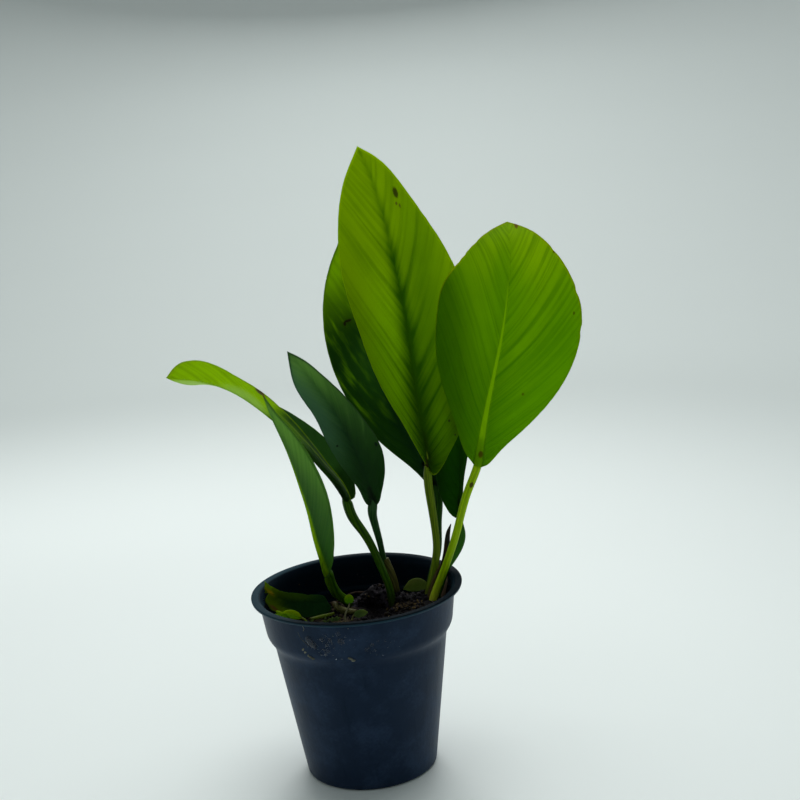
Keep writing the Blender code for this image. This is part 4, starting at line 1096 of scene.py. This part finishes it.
# Each leaf: its shape, its stalk, its slot, its relief, its columns of points and its skin
LOOKS = {
    "leaf_tall": (TALL, TALL_STALK, "leaf_light", Relief(13, rise=2.7, seed=2, lean=(0.9, 1)), 24, leaf_surface(
        "leaf_tall_blade", (106, 140, 0), (70, 110, 0), (22, 58, 0), (60, 86, 0), (34, 62, 0),
        turn=(0.0, 0.55), rib=(5.4, 0.85), veins=0.6, crease=0.5, fine=0.26, through=0.6, margin=(116, 146, 0),
        shine=0.04, tints=(
            Spot(84, 15, 46, 9, (82, 118, 0), 0.8, 0.6), Spot(54, 9, 38, 9, (50, 88, 0), 0.9, 0.6),
            Spot(46, -9, 32, 9, (122, 178, 0), 0.9, 0.65), Spot(12, 8, 12, 7, (96, 146, 0), 0.9, 0.7),
        ), spots=(
            Spot(117.9, 8.4, 2.2, 1.0, (38, 44, 6)), Spot(113.7, 7.4, 0.7, 0.45, (60, 60, 8)),
            Spot(112.4, 8.6, 0.9, 0.35, (60, 66, 8)), Spot(19.7, 12.0, 0.6, 0.5, (40, 50, 4)),
            Spot(13.0, 13.7, 0.5, 0.4, (50, 60, 4)), Spot(2.9, -1.4, 3.4, 0.6, (52, 40, 22)),
        ))),
    "leaf_round": (ROUND, ROUND_STALK, "leaf_light", Relief(19, 3.0, 0.07, seed=3, lean=(0.95, 0.72), notches=(
        (1, 99.1, 0.4, 1.6), (1, 103.6, 0.4, 1.2), (1, 112.2, 0.4, 1.4), (1, 119.7, 0.35, 1.2),
        (0, 105.4, 0.35, 1.6), (0, 87.5, 0.4, 1.8), (0, 73.4, 0.4, 1.4),
    )), 26, leaf_surface(
        "leaf_round_blade", (134, 178, 0), (70, 120, 0), (38, 84, 0), (74, 118, 0), (38, 74, 0),
        turn=(0.1, 1.0), rib=(8.0, 0.15), keel=((108, 150, 0), 1.5), veins=0.4, fine=0.42, crease=0.0,
        through=0.6, margin=(120, 136, 0), shine=0.03, tints=(
            # The first tint darkens the blade's half towards the tall leaf: painted shade from that leaf and from the
            # blade turning away.
            Spot(56, 25, 56, 19, (58, 106, 0), 0.8, 0.6), Spot(96, -7, 13, 20, (140, 188, 0), 0.9, 0.45),
            Spot(46, -26, 44, 17, (72, 122, 0), 0.8, 0.8), Spot(70, 0, 20, 9, (76, 126, 0), 0.8, 0.6),
        ), spots=(
            Spot(84, 3, 9, 3.5, (70, 118, 0), 0.6, 0.35),
            Spot(91.0, -17.8, 0.5, 0.4, (60, 56, 0)), Spot(68.9, -27.4, 0.6, 0.45, (50, 60, 0)),
            Spot(34.7, -13.1, 0.6, 0.5, (56, 66, 0)), Spot(6.1, -0.5, 1.5, 0.8, (84, 66, 8)),
            Spot(105.5, -3.4, 2.4, 0.8, (96, 74, 10)),
        ))),
    "leaf_back": (BACK, BACK_STALK, "leaf_dark", Relief(12, rise=2.8, seed=4), 20, leaf_surface(
        "leaf_back_blade", (98, 140, 0), (10, 34, 2), (6, 26, 6), (34, 62, 6), (6, 22, 10),
        turn=(0.62, 0.95), streaks=0.65, through=0.55, rib=(3.0, 0.7), veins=0.6, shine=0.06, margin=(60, 90, 4),
        spots=(
            Spot(84.9, -4.8, 0.55, 1.7, (14, 8, 4)), Spot(84.0, -6.6, 1.0, 0.55, (14, 8, 4)),
            Spot(62, 0, 14, 9, (24, 56, 16), 0.8, 0.5),
        ))),
    "leaf_dark": (DARK, DARK_STALK, "leaf_dark", Relief(10, rise=2.6, quilt=0.05, seed=5), 18, leaf_surface(
        "leaf_dark_blade", (84, 126, 44), (12, 46, 2), (10, 38, 8), (50, 80, 56), (10, 40, 12), turn=(0.1, 1.0),
        streaks=0.5, through=0.5, veins=0.2, roughness=0.4, shine=0.12, margin=(30, 54, 24), spots=(
            # The first spot is a painted bluish sheen on the blade's left half.
            Spot(52, -8, 24, 6, (44, 74, 60), 0.7, 0.7), Spot(25.7, 9.1, 0.9, 0.6, (8, 20, 8)),
            Spot(32.6, -6.2, 0.5, 0.5, (8, 20, 8)),
        ))),
    "leaf_arching": (ARCHING, ARCHING_STALK, "leaf_light", Relief(12, rise=2.8, quilt=0.06, seed=6), 20, leaf_surface(
        "leaf_arching_blade", (116, 160, 0), (16, 46, 0), (10, 36, 0), (88, 122, 0), (16, 40, 4),
        turn=(0.44, 0.56), through=0.55, roughness=0.34, shine=0.07, rib=(1.6, 0.5), veins=0.35,
        margin=(100, 128, 10), spots=(
            # The first two spots, pale near the tip and along the keel, are partly the paler underside and partly
            # painted sheen from the bright floor.
            Spot(80, 7, 30, 6.8, (118, 150, 66), 0.15, 0.9), Spot(63, -1, 12, 3.6, (112, 146, 60), 0.4, 0.8),
            Spot(28, 8, 26, 7, (30, 60, 24), 0.3, 0.75), Spot(6, 5, 7, 7, (8, 26, 4), 0.4, 0.7),
            # Spot(20, -10.3) is a painted glossy highlight: a grey-white strip near the foot.
            Spot(42, -3, 10, 4, (70, 108, 10), 0.8, 0.7), Spot(20, -10.3, 13, 1.0, (104, 124, 98), 0.35, 0.8),
            Spot(30, -6.6, 30, 0.5, (78, 104, 6), 0.4, 0.8), Spot(61.9, -8.6, 2.2, 0.9, (58, 54, 34)),
        ))),
    "leaf_narrow": (NARROW, NARROW_STALK, "leaf_dark", Relief(10, rise=3.0, quilt=0.04, seed=7), 18, leaf_surface(
        "leaf_narrow_blade", (86, 128, 40), (58, 104, 24), (32, 70, 14), (84, 124, 60), (58, 104, 48),
        keel=((112, 152, 0), 2.4), through=0.5, veins=0.12, fine=0.35, streaks=0.4, roughness=0.4, shine=0.12,
        margin=(50, 84, 28), tints=(Spot(-2, 0, 8, 9, (66, 112, 4), 0.8, 0.9),),
        spots=(Spot(85.8, -0.1, 1.6, 1.0, (84, 52, 24)),))),
    "leaf_hidden": (HIDDEN, HIDDEN_STALK, "leaf_dark", Relief(9, rise=2.6, seed=8), 16, leaf_surface(
        "leaf_hidden_blade", (20, 60, 0), (10, 44, 0), (6, 34, 0), (10, 34, 2), (8, 28, 4),
        through=0.5, shine=0.06, margin=(16, 44, 0))),
}
# Each stalk's light, dark and foot colours
STALKS = {
    "leaf_tall": ((140, 166, 26), (88, 116, 16), (84, 80, 32)),
    "leaf_round": ((196, 232, 0), (150, 190, 0), (206, 212, 60)),
    "leaf_back": ((50, 100, 16), (24, 62, 12), (44, 44, 22)),
    "leaf_dark": ((70, 116, 56), (34, 76, 40), (62, 62, 38)),
    "leaf_arching": ((84, 132, 8), (34, 78, 4), (38, 48, 12)),
    "leaf_narrow": ((96, 142, 4), (44, 92, 4), (10, 26, 2)),
    "leaf_hidden": ((66, 128, 8), (30, 90, 8), (40, 50, 14)),
}
# Spots on the stalks, with the turn about the stalk in place of the distance across
MARKS = {
    "leaf_narrow": (Spot(-6, 4.3, 12, 0.9, (132, 176, 4), 0.6, 0.9),),
    "leaf_round": (Spot(-7.5, 4.4, 1.2, 0.5, (90, 84, 20)),),
    "leaf_arching": (Spot(-40, 4.6, 5.0, 0.8, (96, 84, 46)),),
}
for name, (leaf, stalk, slot, look, columns, blade) in LOOKS.items():
    stem = stalk_surface(name + "_stalk", *STALKS[name], spots=MARKS.get(name, ()))
    shells = [blade_shell(leaf, look, columns, stalk.radii[-1]), stalk_shell(stalk, leaf)]
    skins = [blade, stem]
    if name == "leaf_tall":
        shells.append(stalk_shell(TALL_SHEATH, sides=10, step=0.6, surface=2))
        skins.append(stalk_surface("tall_sheath", (112, 96, 62), (70, 60, 36), (56, 46, 30), shine=0.05))
    add_piece(name + "_grown", shells, skins, [name])

# Pot, soil and rootstock
add_piece("pot_moulded", [pot_shell()], [pot_surface()], ["pot"])
# The soil's near-black colours are partly its own dark tone and partly painted shade in its deep hollows under the
# plant.
earth = grain_surface("soil_crumb", (3, 2, 4), (22, 20, 24), (60, 52, 46), 450.0, left=(66, 56, 34))
add_piece("soil_body", [soil_shell()], [earth], ["soil"])
bark = grain_surface("rhizome_skin", (4, 3, 6), (56, 51, 60), (78, 70, 76), 220.0, 0.65)
add_piece("rhizome_knobbly", [rhizome_shell()], [bark], ["rhizome"])

# Small plants, strips and sheaths
sprout = leaf_surface("sprout_skin", (170, 225, 0), (150, 210, 0), (96, 156, 0), (116, 176, 0), (80, 136, 0),
                      through=0.4, veins=0.2, shine=0.04)
disc = leaf_surface("disc_skin", (88, 146, 0), (66, 118, 0), (44, 88, 0), (56, 104, 2), (38, 78, 2), through=0.35,
                    veins=0.1, shine=0.05)
olive = leaf_surface("olive_skin", (80, 106, 32), (62, 88, 28), (40, 60, 22), (66, 90, 32), (48, 68, 26), through=0.3,
                     veins=0.15, shine=0.06)
pale = leaf_surface("pale_olive_skin", (150, 178, 70), (120, 150, 50), (90, 116, 36), (106, 132, 48),
                    (80, 104, 36), through=0.35, veins=0.05, fine=0.1, shine=0.05)
torn = leaf_surface("torn_skin", (92, 122, 0), (16, 44, 6), (8, 30, 6), (66, 90, 2), (14, 38, 14), turn=(0.5, 0.95),
                    through=0.35, veins=0.5, rib=(3.0, 0.5), shine=0.0, roughness=0.6, spots=(
                        Spot(23, -7.5, 6, 3.0, (66, 86, 4), 0.6), Spot(18, 3.6, 10, 2.2, (50, 74, 8), 0.8, 0.6),
                        Spot(28.5, -1.6, 2.4, 1.3, (112, 98, 8), 0.5), Spot(24, -7.6, 1.4, 0.9, (80, 60, 26), 0.5),
                        Spot(31, 0.5, 3.0, 2.4, (76, 102, 6), 0.5),
                    ))
lime_stem = stalk_surface("lime_stem", (126, 146, 30), (92, 112, 20), (84, 92, 34))
pale_stem = stalk_surface("pale_stem", (150, 146, 110), (104, 106, 74), (110, 96, 74))
olive_stem = stalk_surface("olive_stem", (124, 122, 70), (80, 80, 42), (66, 56, 34))
paper = stalk_surface("papery_olive", (112, 110, 52), (74, 74, 32), (60, 50, 30))
beige = leaf_surface("papery_beige", (160, 130, 104), (132, 106, 84), (92, 72, 58), (140, 114, 92), (92, 74, 60),
                     through=0.3, fine=0.7)
shoot = stalk_surface("shoot_skin", (70, 46, 34), (16, 38, 28), (30, 30, 24))
small = Relief(5, rise=2.0, quilt=0.03, ripple=0.1, frill=0.1, thickness=0.3)
ragged = Relief(9, rise=1.4, quilt=0.1, frill=0.5, seed=9, notches=(
    (0, 35.6, 4.4, 1.1), (0, 32.4, 0.8, 0.5), (0, 29.6, 0.9, 0.5), (0, 38.2, 0.6, 0.5), (0, 26.4, 0.8, 0.5),
    (1, 34.0, 0.3, 0.6), (1, 28.0, 0.35, 0.7), (1, 21.5, 0.4, 0.5), (1, 12.0, 0.4, 0.7),
))
add_piece("leaf_torn_fallen", [blade_shell(TORN, ragged, 16, 0.5)], [torn], ["leaf_torn"])
add_piece("leaf_small_back", [blade_shell(SMALL_BACK, small, 8)], [pale], ["leaf_small"])
add_piece("sheath_right_papery", [blade_shell(RIGHT_SHEATH, small, 8)], [beige], ["sheath_right"])
for name, leaf, stem, skins, slot in (
    ("seedling_lime", LIME_SEEDLING, LIME_SEEDLING_STEM, [sprout, lime_stem], "sprout_green"),
    ("seedling_round", ROUND_SEEDLING, ROUND_SEEDLING_STEM, [disc, pale_stem], "sprout_green"),
    ("seedling_olive", OLIVE_SEEDLING, OLIVE_SEEDLING_STEM, [olive, olive_stem], "leaf_dark"),
):
    shells = [blade_shell(leaf, small, 8, 0.2), stalk_shell(stem, leaf, sides=10, step=0.5)]
    if name == "seedling_lime":
        shells.append(blade_shell(LIME_LEAFLET, small, 6, 0.2))
    add_piece(name + "_grown", shells, skins, [name])
for name, stalk, skin_of, slot in (
    ("strip_olive", OLIVE_STRIP, olive_stem, "stalk_green"),
    ("strip_lime", LIME_STRIP, lime_stem, "sprout_green"),
    ("sheath_middle", MIDDLE_SHEATH, paper, "dry_brown"),
    ("new_shoot", NEW_SHOOT, shoot, "dry_brown"),
):
    add_piece(name + "_grown", [stalk_shell(stalk, surface=0, step=0.6)], [skin_of], [name])


def sprig(x, y, z, way, size):
    """A tiny leaf that rises from the soil."""
    away = np.array([*polar(size, math.radians(way)), 0.55 * size])
    spine = [np.array([x, y, z]) + share * away for share in (0, 0.5, 1)]
    half = [(0.2 * size, 0.25 * size), (0.55 * size, 0.36 * size), (0.85 * size, 0.22 * size)]
    return blade_shell(leaflet(spine, (0.1, -0.6, 0.8), 8, half), small, 6, 0.1)


# Each sprig's place, the way it points and its length
SPRIGS = (
    (-10.8, 0.6, 65.0, 200, 2.6), (-10.6, 0.8, 65.0, 60, 2.4), (-10.4, 0.6, 65.0, -10, 2.6),
    (-10.6, 0.4, 65.0, 130, 2.2), (-14.0, -0.8, 65.0, 170, 1.8), (-13.8, -0.8, 65.0, 60, 1.6),
    (-21.0, -2.6, 66.2, 10, 1.8), (-14.6, 1.6, 65.4, 100, 1.4),
)
add_piece("sprigs_tiny", [sprig(*one) for one in SPRIGS], [olive])

# Crumbs, fibres, drops and debris
draw = np.random.default_rng(11)
crumb_skins = [
    grain_surface("crumb_dark", (4, 3, 5), (30, 27, 33), (58, 51, 56)),
    grain_surface("crumb_brown", (16, 11, 8), (52, 42, 30), (86, 72, 50)),
    grain_surface("crumb_pale", (54, 42, 22), (98, 82, 50), (132, 112, 74)),
    grain_surface("flake_grey", (78, 80, 72), (128, 130, 116), (158, 156, 138)),
]
add_piece("soil_crumbs", crumb_shells(draw), crumb_skins)
fibre_skins = [
    grain_surface("fibre_dark", (24, 18, 16), (58, 46, 38), (90, 76, 60)),
    grain_surface("fibre_pale", (80, 70, 54), (140, 128, 100), (170, 160, 130)),
]
fibres = fibre_shells(draw)
fibres.append(stalk_shell(PALE_ROOT, sides=8, step=0.5, surface=0))
add_piece("soil_fibres", fibres, fibre_skins)
add_piece("wall_debris", debris_shells(draw), crumb_skins)
add_piece("wall_drops", drop_shells(draw), [water_surface()])

# Backdrop, light and camera, in metres
# Paper colours near the pot, beyond it and far off; their darkening outwards is painted falloff of the light.
PAPER, PAPER_BEYOND, PAPER_FAR = (0.82, 0.88, 0.86, 1), (0.785, 0.842, 0.823, 1), (0.45, 0.495, 0.482, 1)
FLOOR_DROP = 0.0002  # how far the floor lies below the pot's base
FLOOR_EDGE, SWEEP = 1.0, 1.2  # where the floor starts to curve up, and the curve's radius


def backdrop():
    """A pale floor that curves up all round, painted darker far from the pot as the falloff of the light."""
    s = Surface("studio_paper")
    level = s.scaled(s.position(), 1, 1, 0)
    colour = s.blend(s.smooth(s.length(level), 0.1, 0.35), PAPER, PAPER_BEYOND)
    aside = s.length(s.vector("ADD", level, (0.2, 0, 0)))
    colour = s.blend(s.smooth(aside, 0.34, 0.90), colour, PAPER_FAR)
    body = s.node("BsdfPrincipled", {"Base Color": colour, "Roughness": 0.8})
    profile = [(0.5 * FLOOR_EDGE, 0.0), (FLOOR_EDGE, 0.0)]
    for angle in np.radians(90 * np.arange(1, 13) / 12):
        profile.append((FLOOR_EDGE + SWEEP * math.sin(angle), SWEEP * (1 - math.cos(angle))))
    wall = FLOOR_EDGE + SWEEP
    profile += [(wall, 2.0), (wall, 2.8)]
    turns = all_round(96)
    points = [(0.0, 0.0, -FLOOR_DROP)]
    for radius, height in profile:
        points += [(*polar(radius, turn), height - FLOOR_DROP) for turn in turns]
    ring = np.arange(len(turns)) + 1
    ahead = np.roll(ring, -1)
    faces = [(0, *pair) for pair in zip(ring.tolist(), ahead.tolist())]
    for start in len(turns) * np.arange(len(profile) - 1):
        quads = ring + start, ring + start + len(turns), ahead + start + len(turns), ahead + start
        faces += np.stack(quads, axis=-1).tolist()
    mesh = bpy.data.meshes.new("backdrop")
    mesh.from_pydata(points, [], faces)
    mesh.materials.append(s.finish(body.outputs[0]))
    mesh.shade_smooth()
    made = bpy.data.objects.new("backdrop", mesh)
    bpy.context.collection.objects.link(made)


def area_light(name, place, aim, size, power):
    light = bpy.data.lights.new(name, "AREA")
    light.shape = "DISK"
    light.size = size
    light.energy = power
    made = bpy.data.objects.new(name, light)
    made.location = place
    made.rotation_euler = (Vector(aim) - Vector(place)).to_track_quat("-Z", "Y").to_euler()
    made.visible_camera = False
    bpy.context.collection.objects.link(made)


backdrop()
area_light("overhead", (0.1, 0.6, 1.7), (0, 0, 0.1), 1.8, 18.0)
area_light("behind", (0.0, 1.5, 1.1), (0, 0, 0.15), 1.2, 12.4)
world = bpy.data.worlds.new("studio")
world.use_nodes = True
sky = world.node_tree.nodes["Background"].inputs
sky["Color"].default_value = (0.93, 0.97, 1.0, 1)
sky["Strength"].default_value = 0.41
bpy.context.scene.world = world
bpy.context.scene.view_settings.view_transform = "Standard"

# The camera as fitted to the photo, with its lens in mm
CAMERA_PLACE = (0.0404, -0.5739, 0.2789)
LENS = 63.9
PITCH, YAW, ROLL = (math.radians(v) for v in (11.8, -1.53, -4.84))
ahead = Vector((math.sin(YAW) * math.cos(PITCH), math.cos(YAW) * math.cos(PITCH), -math.sin(PITCH)))
level = Vector((math.cos(YAW), -math.sin(YAW), 0))
upward = level.cross(ahead)
to_right = level * math.cos(ROLL) + upward * math.sin(ROLL)
to_top = upward * math.cos(ROLL) - level * math.sin(ROLL)
lens = bpy.data.cameras.new("photo_view")
lens.lens = LENS
lens.clip_start = 0.01
camera = bpy.data.objects.new("photo_view", lens)
camera.matrix_world = Matrix((*zip(to_right, to_top, -ahead, CAMERA_PLACE), (0, 0, 0, 1)))
bpy.context.collection.objects.link(camera)
bpy.context.scene.camera = camera
